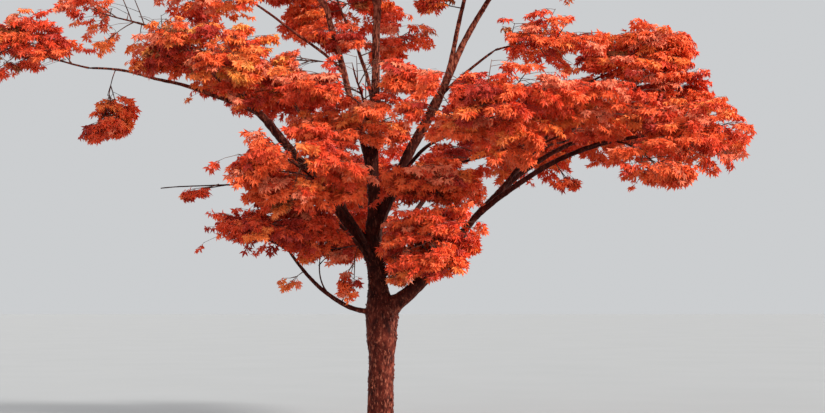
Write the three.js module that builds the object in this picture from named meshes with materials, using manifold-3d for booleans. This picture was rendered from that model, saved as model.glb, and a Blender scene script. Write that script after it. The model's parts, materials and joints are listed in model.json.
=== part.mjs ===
// A mature paperbark maple in autumn leaf: a short leaning trunk with root flare, a low fork,
// rising and arching boughs, and loose tiers of scarlet foliage.
// Millimetres, +Z up, +X to the right and -Y towards the viewer. The origin is the middle of the
// flat cut under the trunk, at ground level.
import * as THREE from "three";
import { mergeVertices } from "three/addons/utils/BufferGeometryUtils.js";
import Module from "manifold-3d";

const wasm = await Module();
wasm.setup();

// Driving dimensions of the trunk
const TRUNK_HEIGHT = 2420;
const TRUNK_LEAN_HEIGHT = 1300; // the trunk bows right up to here, then leans back to the left
const TRUNK_BOW = 35;
const TRUNK_LEAN_BACK = 105;
const TRUNK_DIAMETER = 280;
const TRUNK_TOP_DIAMETER = 142;
const FORK_HEIGHT = 1440;
const FORK_NARROWING = 1.6; // how sharply the trunk narrows above the fork
const FORK_SWELL = 26;
const FORK_SWELL_REACH = 190;
const ROOT_FLARE = 78;
const ROOT_FLARE_HEIGHT = 130;
const ROOT_RIBS = 5;
const ROOT_RIB_DEPTH = 0.16;
const ROOT_RIB_REACH = 1.3; // how far up the ribs fade out, by the flare's own height
const ROOT_RIB_TURN = 0.6;
const TRUNK_SIDES = 12;
const TRUNK_RINGS = 11;
const TRUNK_BUNCHING = 1.6; // above 1, the rings stand closer together near the ground
const LIMB_RINGS = 4;
const LIMB_BUNCHING = 1.5;
const COLLAR_WIDTH = 0.28; // how far a limb swells where it leaves its parent, by its diameter
const COLLAR_REACH = 1.1; // and how soon the swelling dies away

// How round the limbs are: the sides of one at least as thick as this at its base
const LIMB_SIDES = [
  { base: 90, sides: 8 },
  { base: 60, sides: 6 },
  { base: 0, sides: 5 },
];

// Gaps and clearances
const FIT_GAP = 0.35; // between two pieces of wood that meet
const SPOT_SPACING = 40; // between the points that stand for a limb when others keep clear of it
const LIMB_CLEARANCE = 14; // from a twig or leaf to any limb that it passes
const LEAF_EDGE = 1.16; // how far out of its mass's space a leaf's tip may stand
const SPACE_MARGIN = 0.045; // between neighbouring masses, as a share of their half width

// Limbs: what each grows from, how far along it (millimetres up the trunk, or a share of a bough),
// the compass heading (0 is right, 90 is away, 180 is left, 270 is towards the viewer), how far it
// reaches out and rises, how high its middle arches over a straight line, how far its middle is
// pushed along the heading, and its diameter at its base and tip.
const LIMBS = [
  limb("leader", "trunk", 2420, 20, 50, 2500, 0, 0, 132, 80),
  limb("leader_top", "leader", 1, 60, 120, 1060, 0, 50, 70, 42),
  limb("leader_left", "leader", 0.97, 170, 420, 700, 60, 0, 50, 34),
  limb("left_stem", "leader", 0.2, 170, 560, 2000, 0, 0, 84, 64),
  limb("left_stem_top", "left_stem", 1, 150, 440, 320, 0, -20, 56, 36),
  limb("left_stem_side", "left_stem", 0.62, 192, 1020, 720, 30, 0, 36, 26),
  limb("right_stem", "trunk", 2300, 8, 770, 1605, 0, -50, 126, 112),
  limb("right_stem_up", "right_stem", 1, 352, 288, 1375, 0, 30, 66, 40),
  limb("right_stem_out", "right_stem", 0.99, 6, 790, 1475, 60, -30, 86, 48),
  limb("right_stem_low", "right_stem", 0.97, 345, 660, 520, 30, 0, 38, 26),
  limb("right_limb", "trunk", 1460, 352, 930, 930, -100, 0, 165, 100),
  limb("right_low", "right_limb", 1, 350, 1980, 970, 220, 0, 76, 40),
  limb("right_high", "right_limb", 0.97, 17, 1740, 1130, 200, 0, 76, 42),
  limb("right_rise", "right_high", 0.45, 8, 700, 1000, 60, 0, 46, 32),
  limb("right_hang", "right_low", 0.66, 310, 600, 20, 60, 0, 34, 24),
  limb("right_back", "right_high", 0.3, 62, 1700, 650, 120, 0, 50, 32),
  limb("right_front", "right_high", 0.28, 318, 620, 480, 60, 0, 42, 30),
  limb("front_right", "right_stem", 0.33, 300, 1250, 480, 100, 0, 50, 32),
  limb("low_right", "trunk", 1760, 312, 380, 330, 20, 0, 44, 30),
  limb("left_limb", "trunk", 2080, 177, 1260, 1550, 20, 0, 132, 94),
  limb("left_low", "left_limb", 1, 186, 1240, 420, 60, 0, 54, 36),
  limb("left_outer", "left_low", 0.98, 178, 720, 120, 30, 0, 34, 26),
  limb("left_high", "left_limb", 0.96, 168, 1060, 1000, 80, 0, 50, 34),
  limb("front_left", "trunk", 2000, 244, 1000, 720, 60, 0, 58, 36),
  limb("left_under", "trunk", 1960, 220, 560, 500, 30, 0, 52, 34),
  limb("low_left", "trunk", 1500, 184, 1020, 680, -240, 0, 60, 32),
  limb("near_right", "trunk", 2190, 312, 300, 560, 40, 0, 44, 30),
  limb("back", "trunk", 1980, 102, 1900, 1050, 140, 0, 72, 40),
  limb("back_left", "left_limb", 0.22, 118, 1800, 1650, 140, 0, 66, 38),
  limb("back_right", "trunk", 1900, 54, 1650, 1350, 140, 0, 70, 40),
  limb("back_high", "leader", 0.51, 108, 1300, 1300, 120, 0, 50, 34),
];

// Masses of foliage: the limb that carries each, how far along it the mass's stem leaves, the
// stem's heading and climb in degrees, the mass's length along its stem, its width and its depth,
// and how far its middle sits above its stem.
const MASSES = [
  mass("outer_right_foliage", "right_low", 1, 352, -14, 1300, 1900, 900, 190, "scarlet"),
  mass("right_middle_foliage", "right_high", 1, 20, 8, 1500, 1800, 900, 260, "scarlet"),
  mass("right_crest_foliage", "right_rise", 1, 5, 12, 1270, 1650, 900, 190, "scarlet"),
  mass("right_hanging_foliage", "right_hang", 1, 300, -22, 900, 820, 600, -70, "scarlet"),
  mass("right_back_foliage", "right_back", 1, 60, 12, 1900, 2100, 1050, 200, "scarlet"),
  mass("right_front_foliage", "right_front", 1, 330, 12, 1500, 1700, 820, 240, "scarlet"),
  mass("front_right_foliage", "front_right", 1, 300, 8, 1800, 1900, 1150, 130, "scarlet"),
  mass("low_right_foliage", "low_right", 1, 305, 12, 1180, 1350, 1000, 90, "scarlet"),
  mass("centre_front_foliage", "leader", 0.346, 262, 22, 1900, 2000, 1050, 160, "scarlet"),
  mass("front_left_foliage", "front_left", 1, 246, 8, 1650, 1700, 950, 160, "scarlet"),
  mass("left_under_foliage", "left_under", 1, 208, -14, 1580, 1450, 800, 120, "crimson"),
  mass("low_left_foliage", "low_left", 1, 192, 4, 860, 1050, 540, 220, "crimson"),
  mass("near_right_foliage", "near_right", 1, 325, 6, 1000, 1150, 640, 40, "scarlet"),
  mass("left_hanging_foliage", "left_outer", 0.6, 190, -76, 700, 580, 460, -260, "scarlet"),
  mass("far_left_foliage", "left_outer", 1, 178, 6, 1650, 1700, 900, 200, "crimson"),
  mass("left_high_foliage", "left_high", 1, 165, 14, 1700, 1800, 1000, 120, "orange"),
  mass("left_front_foliage", "left_limb", 1, 228, 18, 1800, 1900, 1000, 300, "orange"),
  mass("upper_left_foliage", "left_stem_side", 1, 192, 14, 1500, 1700, 950, 50, "orange"),
  mass("top_left_foliage", "left_stem_top", 1, 140, 42, 1600, 2000, 1500, 50, "orange"),
  mass("top_middle_foliage", "leader_left", 1, 232, 42, 1700, 1700, 1400, 50, "scarlet"),
  mass("top_foliage", "leader_top", 1, 60, 78, 1800, 1900, 1800, 0, "scarlet"),
  mass("top_right_foliage", "right_stem_up", 1, 305, 42, 1800, 1900, 1400, 0, "scarlet"),
  mass("upper_right_foliage", "right_stem_out", 1, 14, 20, 2000, 2200, 1400, 100, "orange"),
  mass("right_shoulder_foliage", "right_stem_low", 1, 350, 2, 1300, 1350, 800, 90, "scarlet"),
  mass("back_foliage", "back", 1, 100, 10, 2000, 2300, 1150, 120, "scarlet"),
  mass("back_left_foliage", "back_left", 1, 130, 10, 2000, 2200, 1150, 120, "crimson"),
  mass("back_right_foliage", "back_right", 1, 46, 10, 2000, 2400, 1150, 120, "scarlet"),
  mass("back_high_foliage", "back_high", 1, 105, 30, 1900, 2100, 1300, 50, "scarlet"),
];

// How a mass grows
const SEED = 1907;
const STEM_BACK = 0.86; // the stem enters this share of the half length behind the middle
const STEM_AHEAD = 0.6; // and ends this share ahead of it
const TWIGS = 7;
const TWIG_TRIES = 3; // a twig that leaves its space is tried again shorter
const TWIG_SHORTENING = 0.84;
const BACKMOST_TWIG = -0.75;
const GOLDEN_ANGLE = Math.PI * (3 - Math.sqrt(5));
const TWIG_JITTER = 0.8;
const TWIG_REACH = 0.66; // share of the mass's own half width that a twig reaches
const TWIG_REACH_SPREAD = 0.14;
const TWIG_STARTS = [0.1, 0.86]; // the part of the stem that twigs leave
const TWIG_DIAMETER = 14;
const TWIG_TIP_DIAMETER = 12;
const TWIG_CHECKED_FROM = 0.2; // the part of a twig, from here on, that must keep to its space
const TWIG_CHECKS = 9;
const TWIG_SIDES = 3;
const STEM_SIDES = 4;
const STEM_TIP_SHARE = 0.75; // the stem's tip beside its base
const STEM_TAPER = 0.92; // the stem's base beside its bough's tip

// A leaf here is a spray of leaves, as long as a hand and forearm
const LEAF_LENGTH = 510;
const LEAF_WIDTH = 355;
const LEAF_THICKNESS = 14;
const LEAF_SPREAD = 0.14; // how much longer or shorter a leaf may be
const LEAF_BROADEST = 0.44; // where it is broadest, from its root
const LEAF_DROOP = 0.25;
const LEAF_TURNING = 0.4; // how far a leaf that stands aside turns from its twig's direction
const LEAF_FACING = { outward: 0.75, up: 0.6, stray: 0.7 }; // what its face turns towards
const LEAF_TRIES = 6; // turns of a leaf that are tried before it is left out
const LEAF_WANDER = 1.8; // how far the last of them strays from the first
// Where each leaf stands along its twig, how far it turns aside from it, and how deep its root is
// sunk behind the twig's middle, by the twig's radius
const LEAF_PLACES = [
  { at: 1, splay: 0, sink: 0.5 },
  { at: 0.8, splay: 0.85, sink: 0.05 },
  { at: 0.6, splay: -0.85, sink: 0.05 },
  { at: 0.4, splay: 0.85, sink: 0.05 },
];

const COLOURS = {
  bark: new THREE.Color(0.2, 0.065, 0.035),
  scarlet: new THREE.Color(0.75, 0.09, 0.03),
  crimson: new THREE.Color(0.58, 0.05, 0.03),
  orange: new THREE.Color(0.85, 0.22, 0.05),
};
const ROUGHNESS = { bark: 0.85, leaf: 0.7 };
const MERGE_DISTANCE = 1e-3;
const UP = new THREE.Vector3(0, 0, 1);
const RIGHT = new THREE.Vector3(1, 0, 0);
const AWAY = new THREE.Vector3(0, 1, 0);

function limb(name, from, at, heading, reach, rise, arch, push, base, tip) {
  return { name, from, at, heading, reach, rise, arch, push, base, tip };
}

function mass(name, on, at, heading, climb, long, wide, deep, lift, tint) {
  return { name, on, at, heading, climb, long, wide, deep, lift, tint };
}

// A repeatable stream of numbers from 0 to 1
function makeRandom(seed) {
  let state = seed >>> 0;
  return () => {
    state = (state + 0x6d2b79f5) >>> 0;
    let t = state;
    t = Math.imul(t ^ (t >>> 15), t | 1);
    t ^= t + Math.imul(t ^ (t >>> 7), t | 61);
    return ((t ^ (t >>> 14)) >>> 0) / 4294967296;
  };
}

function headingVector(degrees) {
  const angle = THREE.MathUtils.degToRad(degrees);
  return new THREE.Vector3(Math.cos(angle), Math.sin(angle), 0);
}

// a + b * k, as a new vector
function along(a, b, k) {
  return a.clone().addScaledVector(b, k);
}

// The curve from start to end whose middle is moved by the vector bulge.
function bowedCurve(start, end, bulge) {
  const middle = start.clone().add(end).multiplyScalar(0.5);
  return new THREE.QuadraticBezierCurve3(start, along(middle, bulge, 2), end);
}

// The trunk's middle line.
class TrunkLine extends THREE.Curve {
  getPoint(t) {
    return this.atHeight(t * TRUNK_HEIGHT);
  }
  atHeight(z) {
    if (z < TRUNK_LEAN_HEIGHT) {
      const x = TRUNK_BOW * Math.sin((Math.PI / 2) * (z / TRUNK_LEAN_HEIGHT));
      return new THREE.Vector3(x, 0, z);
    }
    const share = (z - TRUNK_LEAN_HEIGHT) / (TRUNK_HEIGHT - TRUNK_LEAN_HEIGHT);
    return new THREE.Vector3(TRUNK_BOW - TRUNK_LEAN_BACK * share, 0, z);
  }
}

function trunkRadius(z) {
  const above = Math.max(0, (z - FORK_HEIGHT) / (TRUNK_HEIGHT - FORK_HEIGHT));
  const narrowing = ((TRUNK_DIAMETER - TRUNK_TOP_DIAMETER) / 2)
    * ((1 - Math.exp(-FORK_NARROWING * above)) / (1 - Math.exp(-FORK_NARROWING)));
  const flare = ROOT_FLARE * Math.exp(-z / ROOT_FLARE_HEIGHT);
  const swell = FORK_SWELL * Math.exp(-(((z - FORK_HEIGHT) / FORK_SWELL_REACH) ** 2));
  return TRUNK_DIAMETER / 2 - narrowing + flare + swell;
}

function limbRadius(spec, share) {
  return (spec.base + (spec.tip - spec.base) * share) / 2;
}

// A tapering limb along a curve: a cylinder whose rings are moved onto it. radiusAt gives the
// radius by share of the length and angle round the limb, bunching draws the rings to its base,
// and grow widens it all round and past both ends.
function sweep(curve, radiusAt, { sides, rings, bunching = 1, grow = 0 }) {
  const shape = new THREE.CylinderGeometry(1, 1, 1, sides, rings);
  const position = shape.getAttribute("position");
  const point = new THREE.Vector3();
  for (let i = 0; i < position.count; i += 1) {
    point.fromBufferAttribute(position, i);
    const share = (point.y + 0.5) ** bunching;
    const past = share > 0 && share < 1 ? 0 : Math.sign(point.y) * grow;
    const angle = Math.atan2(point.z, point.x);
    const radius = Math.hypot(point.x, point.z) * (radiusAt(share, angle) + grow);
    const { forward, across, over } = frameAt(curve, share);
    const moved = along(curve.getPoint(share), forward, past)
      .addScaledVector(across, radius * Math.cos(angle)).addScaledVector(over, -radius * Math.sin(angle));
    position.setXYZ(i, moved.x, moved.y, moved.z);
  }
  return shape;
}

// A curve's direction and the two square to it, the first of them level where that can be. The
// trunk's rings all lie level.
function frameAt(curve, share) {
  if (curve === trunkLine) return { forward: UP, across: RIGHT, over: AWAY };
  const forward = curve.getTangent(share);
  const chord = curve.getPoint(1).sub(curve.getPoint(0));
  const level = new THREE.Vector3(-chord.y, chord.x, 0).normalize();
  const over = new THREE.Vector3().crossVectors(forward, level).normalize();
  const across = new THREE.Vector3().crossVectors(over, forward).normalize();
  return { forward, across, over };
}

function toSolid(geometry) {
  const bare = geometry.clone();
  bare.deleteAttribute("normal");
  bare.deleteAttribute("uv");
  const merged = mergeVertices(bare, MERGE_DISTANCE);
  const mesh = new wasm.Mesh({
    numProp: 3,
    vertProperties: new Float32Array(merged.getAttribute("position").array),
    triVerts: new Uint32Array(merged.index.array),
  });
  const solid = new wasm.Manifold(mesh);
  if (solid.volume() < 0) throw new Error("a solid is inside out");
  return solid;
}

function largestPiece(solid) {
  const pieces = solid.decompose();
  return pieces.reduce((best, piece) => (piece.volume() > best.volume() ? piece : best));
}

// A mesh placed at its root point, from a solid in the tree's own frame.
function toMesh(name, solid, root, colour, roughness) {
  const { vertProperties, triVerts, numProp } = solid.getMesh();
  const count = vertProperties.length / numProp;
  const position = new Float32Array(count * 3);
  for (let i = 0; i < count; i += 1) {
    position[i * 3] = vertProperties[i * numProp] - root.x;
    position[i * 3 + 1] = vertProperties[i * numProp + 1] - root.y;
    position[i * 3 + 2] = vertProperties[i * numProp + 2] - root.z;
  }
  const geometry = new THREE.BufferGeometry();
  geometry.setAttribute("position", new THREE.BufferAttribute(position, 3));
  geometry.setIndex(new THREE.BufferAttribute(new Uint32Array(triVerts), 1));
  geometry.computeVertexNormals();
  const material = new THREE.MeshStandardMaterial({ color: colour, roughness, metalness: 0 });
  const mesh = new THREE.Mesh(geometry, material);
  mesh.name = name;
  mesh.position.copy(root);
  return mesh;
}

// Limbs, each cut clear of the ones that it grows from or beside

const trunkLine = new TrunkLine();
const built = new Map();

function trunkShape(grow) {
  const radiusAt = (share, angle) => {
    const z = share * TRUNK_HEIGHT;
    const fade = Math.exp(-z / (ROOT_FLARE_HEIGHT * ROOT_RIB_REACH));
    return trunkRadius(z) * (1 + ROOT_RIB_DEPTH * fade * Math.cos(ROOT_RIBS * angle + ROOT_RIB_TURN));
  };
  const options = { sides: TRUNK_SIDES, rings: TRUNK_RINGS, bunching: TRUNK_BUNCHING, grow };
  return sweep(trunkLine, radiusAt, options);
}

function limbCurve(spec) {
  const start = spec.from === "trunk"
    ? trunkLine.atHeight(spec.at)
    : built.get(spec.from).curve.getPoint(spec.at);
  const heading = headingVector(spec.heading);
  const end = along(start, heading, spec.reach).add(new THREE.Vector3(0, 0, spec.rise));
  const bulge = heading.clone().multiplyScalar(spec.push).add(new THREE.Vector3(0, 0, spec.arch));
  return bowedCurve(start, end, bulge);
}

function limbShape(spec, curve, grow) {
  const reach = curve.getLength() / (COLLAR_REACH * spec.base);
  const radiusAt = (share) => limbRadius(spec, share) + COLLAR_WIDTH * spec.base * Math.exp(-share * reach);
  const { sides } = LIMB_SIDES.find((row) => spec.base >= row.base);
  return sweep(curve, radiusAt, { sides, rings: LIMB_RINGS, bunching: LIMB_BUNCHING, grow });
}

function buildTrunk() {
  const solid = toSolid(trunkShape(0));
  const clear = toSolid(trunkShape(FIT_GAP));
  built.set("trunk", { curve: trunkLine, solid, clear, radiusAt: (t) => trunkRadius(t * TRUNK_HEIGHT) });
  return toMesh("trunk", solid, new THREE.Vector3(), COLOURS.bark, ROUGHNESS.bark);
}

function buildLimb(spec) {
  const curve = limbCurve(spec);
  let solid = toSolid(limbShape(spec, curve, 0));
  const clear = toSolid(limbShape(spec, curve, FIT_GAP));
  for (const earlier of built.values()) solid = solid.subtract(earlier.clear);
  solid = largestPiece(solid);
  built.set(spec.name, { curve, solid, clear, radiusAt: (t) => limbRadius(spec, t) });
  return toMesh(spec.name, solid, curve.getPoint(0), COLOURS.bark, ROUGHNESS.bark);
}

// Points down the middle of a limb or stem, with its radius there, for keeping clear of it.
function limbPoints({ curve, radiusAt }) {
  const steps = Math.ceil(curve.getLength() / SPOT_SPACING);
  return Array.from({ length: steps + 1 }, (_, i) => {
    const share = i / steps;
    return { point: curve.getPoint(share), radius: radiusAt(share) };
  });
}

function stemPoints(spec, space) {
  const radius = built.get(spec.on).radiusAt(spec.at);
  return limbPoints({ curve: stemCurve(space), radiusAt: () => radius });
}

// The space that a mass keeps to: an ellipsoid, up to where a neighbour's is nearer.
function massSpace(spec) {
  const heading = headingVector(spec.heading);
  const climb = THREE.MathUtils.degToRad(spec.climb);
  const forward = heading.clone().multiplyScalar(Math.cos(climb)).addScaledVector(UP, Math.sin(climb));
  const side = new THREE.Vector3(-heading.y, heading.x, 0);
  const over = new THREE.Vector3().crossVectors(forward, side);
  const carrier = built.get(spec.on);
  const entry = carrier.curve.getPoint(spec.at);
  const half = new THREE.Vector3(spec.long / 2, spec.wide / 2, spec.deep / 2);
  const middle = along(entry, forward, half.x * STEM_BACK).addScaledVector(UP, spec.lift);
  return { entry, forward, side, over, middle, half };
}

// A point of a mass from shares of its half length, half width and half depth.
function spacePoint(space, ahead, aside, above) {
  return along(space.middle, space.forward, ahead * space.half.x)
    .addScaledVector(space.side, aside * space.half.y)
    .addScaledVector(space.over, above * space.half.z);
}

// How far out of a mass's middle a point lies: 1 is the edge of its space.
function spread(space, point) {
  const from = point.clone().sub(space.middle);
  const ahead = from.dot(space.forward) / space.half.x;
  const aside = from.dot(space.side) / space.half.y;
  const above = from.dot(space.over) / space.half.z;
  return Math.hypot(ahead, aside, above);
}

function keepsToSpace(points, mass, edge) {
  return points.every((point) => {
    const own = spread(mass.space, point);
    return own < edge && mass.others.every((other) => spread(other, point) > own + SPACE_MARGIN);
  });
}

function clearOfLimbs(points, limbs) {
  return points.every((point) =>
    limbs.every((spot) => spot.point.distanceTo(point) > spot.radius + LIMB_CLEARANCE));
}

function curvePoints(curve, from, count) {
  return Array.from({ length: count }, (_, i) => curve.getPoint(from + ((1 - from) * i) / (count - 1)));
}

// A blade from a tetrahedron: a ridge from its root to its tip, above the edge between its sides.
function leafShape({ root, direction, normal, length }) {
  const across = new THREE.Vector3().crossVectors(direction, normal);
  const blade = new THREE.TetrahedronGeometry(1, 0);
  const position = blade.getAttribute("position");
  for (let i = 0; i < position.count; i += 1) {
    const onRidge = position.getZ(i) > 0;
    const end = Math.sign(position.getX(i));
    const point = along(root, direction, (onRidge ? (1 + end) / 2 : LEAF_BROADEST) * length)
      .addScaledVector(across, onRidge ? 0 : (end * leafWidth(length)) / 2)
      .addScaledVector(normal, onRidge ? 0 : -LEAF_THICKNESS);
    position.setXYZ(i, point.x, point.y, point.z);
  }
  return blade;
}

function leafWidth(length) {
  return (LEAF_WIDTH * length) / LEAF_LENGTH;
}

// Points over a leaf, for keeping it to its space.
function leafCorners({ root, direction, normal, length }) {
  const across = new THREE.Vector3().crossVectors(direction, normal);
  const broadest = along(root, direction, LEAF_BROADEST * length);
  return [
    along(root, direction, length),
    along(root, direction, length * 0.75),
    along(broadest, across, leafWidth(length) / 2),
    along(broadest, across, -leafWidth(length) / 2),
    broadest,
  ];
}

// How a leaf leaves its twig: aside and drooping, with its face turned out of the mass and up.
function aimLeaf(place, twig, mass, wander) {
  const tangent = twig.curve.getTangent(place.at);
  const aside = new THREE.Vector3().crossVectors(tangent, UP).normalize();
  const direction = tangent.multiplyScalar(1 - Math.abs(place.splay) * LEAF_TURNING)
    .addScaledVector(aside, place.splay).addScaledVector(UP, -LEAF_DROOP)
    .addScaledVector(straying(mass.random), wander).normalize();
  const length = LEAF_LENGTH * (1 + LEAF_SPREAD * (mass.random() * 2 - 1));
  const root = along(twig.curve.getPoint(place.at), direction, -place.sink * twigRadius(place.at));
  const outward = root.clone().sub(mass.space.middle).normalize();
  const normal = outward.multiplyScalar(LEAF_FACING.outward).addScaledVector(UP, LEAF_FACING.up)
    .addScaledVector(straying(mass.random), LEAF_FACING.stray);
  normal.addScaledVector(direction, -direction.dot(normal)).normalize();
  return { root, direction, normal, length };
}

function straying(random) {
  return new THREE.Vector3(random() - 0.5, random() - 0.5, random() - 0.5);
}

// A leaf that crosses nothing but its own twig, or null where every turn of it fails.
function placeLeaf(place, twig, mass) {
  for (let attempt = 0; attempt < LEAF_TRIES; attempt += 1) {
    const leaf = aimLeaf(place, twig, mass, (LEAF_WANDER * attempt) / LEAF_TRIES);
    const corners = leafCorners(leaf);
    if (!keepsToSpace(corners, mass, LEAF_EDGE) || !clearOfLimbs(corners, mass.limbs)) continue;
    const blade = toSolid(leafShape(leaf));
    const crosses = mass.parts.some((part) => part !== twig.solid && !part.intersect(blade).isEmpty());
    if (!crosses) return blade;
  }
  return null;
}

// A twig from the stem towards a point of the mass's space, or null where it can't keep to it.
function placeTwig(k, stem, mass) {
  const ahead = 1 - ((1 - BACKMOST_TWIG) * (k + 0.5)) / TWIGS;
  const angle = k * GOLDEN_ANGLE + mass.random() * TWIG_JITTER;
  const ring = Math.sqrt(1 - ahead * ahead);
  const start = stem.getPoint(THREE.MathUtils.mapLinear(ahead, BACKMOST_TWIG, 1, ...TWIG_STARTS));
  let reach = TWIG_REACH + TWIG_REACH_SPREAD * mass.random();
  for (let attempt = 0; attempt < TWIG_TRIES; attempt += 1) {
    const end = spacePoint(mass.space, ahead * reach, ring * Math.cos(angle) * reach,
      ring * Math.sin(angle) * reach);
    const curve = new THREE.LineCurve3(start, end);
    const path = curvePoints(curve, TWIG_CHECKED_FROM, TWIG_CHECKS);
    if (keepsToSpace(path, mass, 1) && clearOfLimbs(path, mass.limbs)) {
      return { curve, solid: toSolid(sweep(curve, twigRadius, { sides: TWIG_SIDES, rings: 1 })) };
    }
    reach *= TWIG_SHORTENING;
  }
  return null;
}

function twigRadius(share) {
  return (TWIG_DIAMETER + (TWIG_TIP_DIAMETER - TWIG_DIAMETER) * share) / 2;
}

// One mass: a stem, twigs that leave it in turn round a golden-angle spiral, and each twig's leaves.
function growMass(spec, index, spaces, limbs) {
  const space = spaces[index];
  const others = spaces.filter((other) => other !== space);
  const carrier = built.get(spec.on);
  const stemRadius = carrier.radiusAt(spec.at) * STEM_TAPER;
  const stem = stemCurve(space);
  const radiusAt = (share) => stemRadius * (1 - (1 - STEM_TIP_SHARE) * share);
  const parts = [toSolid(sweep(stem, radiusAt, { sides: STEM_SIDES, rings: 1 }))];
  const mass = { space, others, limbs, parts, random: makeRandom(SEED + index) };
  const twigs = [];
  for (let k = 0; k < TWIGS; k += 1) {
    const twig = placeTwig(k, stem, mass);
    if (twig) twigs.push(twig);
  }
  parts.push(...twigs.map((twig) => twig.solid));
  for (const place of LEAF_PLACES) {
    for (const twig of twigs) {
      const blade = placeLeaf(place, twig, mass);
      if (blade) parts.push(blade);
    }
  }
  let solid = wasm.Manifold.union(parts);
  for (const woody of built.values()) solid = solid.subtract(woody.clear);
  return largestPiece(solid);
}

function stemCurve(space) {
  const end = along(space.middle, space.forward, space.half.x * STEM_AHEAD);
  return new THREE.LineCurve3(space.entry, end);
}

const tree = new THREE.Group();
const wood = new THREE.Group();
const crown = new THREE.Group();
tree.add(wood, crown);

wood.add(buildTrunk());
for (const spec of LIMBS) wood.add(buildLimb(spec));

const spaces = MASSES.map(massSpace);
const limbSpots = [...built.values()].flatMap(limbPoints);
const stemSpots = MASSES.map((spec, index) => stemPoints(spec, spaces[index]));
MASSES.forEach((spec, index) => {
  const passed = [...limbSpots, ...stemSpots.filter((_, i) => i !== index).flat()];
  const solid = growMass(spec, index, spaces, passed);
  crown.add(toMesh(spec.name, solid, spaces[index].entry, COLOURS[spec.tint], ROUGHNESS.leaf));
});

export default tree;
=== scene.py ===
# A mature paperbark maple in autumn leaf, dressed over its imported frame.
# Metres, +Z up, +X to the right and -Y towards the viewer. The limbs and masses of the part's
# source are grown again from the same named sizes, which are in millimetres, and carried on to
# finer twigs, leaves and peeling bark.
import json
import math
from collections import namedtuple

import bpy
import numpy as np
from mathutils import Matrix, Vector, noise

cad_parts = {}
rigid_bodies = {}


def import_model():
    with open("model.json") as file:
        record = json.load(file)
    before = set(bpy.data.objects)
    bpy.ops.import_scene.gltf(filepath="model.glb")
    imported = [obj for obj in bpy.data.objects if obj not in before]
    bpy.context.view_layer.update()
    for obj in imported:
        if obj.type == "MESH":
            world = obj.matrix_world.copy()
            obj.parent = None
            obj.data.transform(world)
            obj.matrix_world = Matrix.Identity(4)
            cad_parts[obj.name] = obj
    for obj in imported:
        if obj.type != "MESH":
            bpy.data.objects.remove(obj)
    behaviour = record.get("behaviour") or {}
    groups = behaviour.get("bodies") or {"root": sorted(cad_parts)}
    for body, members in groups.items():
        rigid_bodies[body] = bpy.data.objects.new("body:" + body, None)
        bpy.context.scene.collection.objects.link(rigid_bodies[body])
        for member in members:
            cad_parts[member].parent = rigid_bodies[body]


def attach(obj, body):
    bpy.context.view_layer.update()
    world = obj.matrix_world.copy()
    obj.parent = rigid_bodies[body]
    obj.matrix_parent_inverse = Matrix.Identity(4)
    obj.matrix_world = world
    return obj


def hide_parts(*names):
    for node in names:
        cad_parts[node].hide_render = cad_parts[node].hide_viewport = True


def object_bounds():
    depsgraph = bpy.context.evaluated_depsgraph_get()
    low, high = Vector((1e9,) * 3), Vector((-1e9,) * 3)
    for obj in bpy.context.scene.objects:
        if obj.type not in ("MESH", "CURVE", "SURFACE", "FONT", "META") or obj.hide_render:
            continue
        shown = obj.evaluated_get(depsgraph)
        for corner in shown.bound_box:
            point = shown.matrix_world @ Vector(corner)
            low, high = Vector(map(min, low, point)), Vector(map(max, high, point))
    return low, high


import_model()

CAD_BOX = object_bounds()
MM = 0.001
UP = np.array((0.0, 0.0, 1.0))
CROWN_MIDDLE = np.array((0.0, 0.5, 3.6))

# The trunk, in millimetres
TRUNK_HEIGHT = 2420
TRUNK_LEAN_HEIGHT = 1300
TRUNK_BOW = 35
TRUNK_LEAN_BACK = 105
TRUNK_DIAMETER = 280
TRUNK_TOP_DIAMETER = 142
FORK_HEIGHT = 1440
FORK_NARROWING = 1.6
FORK_SWELL = 26
FORK_SWELL_REACH = 190
ROOT_FLARE = 78
ROOT_FLARE_HEIGHT = 130
ROOT_RIBS = 5
ROOT_RIB_DEPTH = 0.16
ROOT_RIB_REACH = 1.3
ROOT_RIB_TURN = 0.6
COLLAR_WIDTH = 0.28
COLLAR_REACH = 1.1

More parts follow.
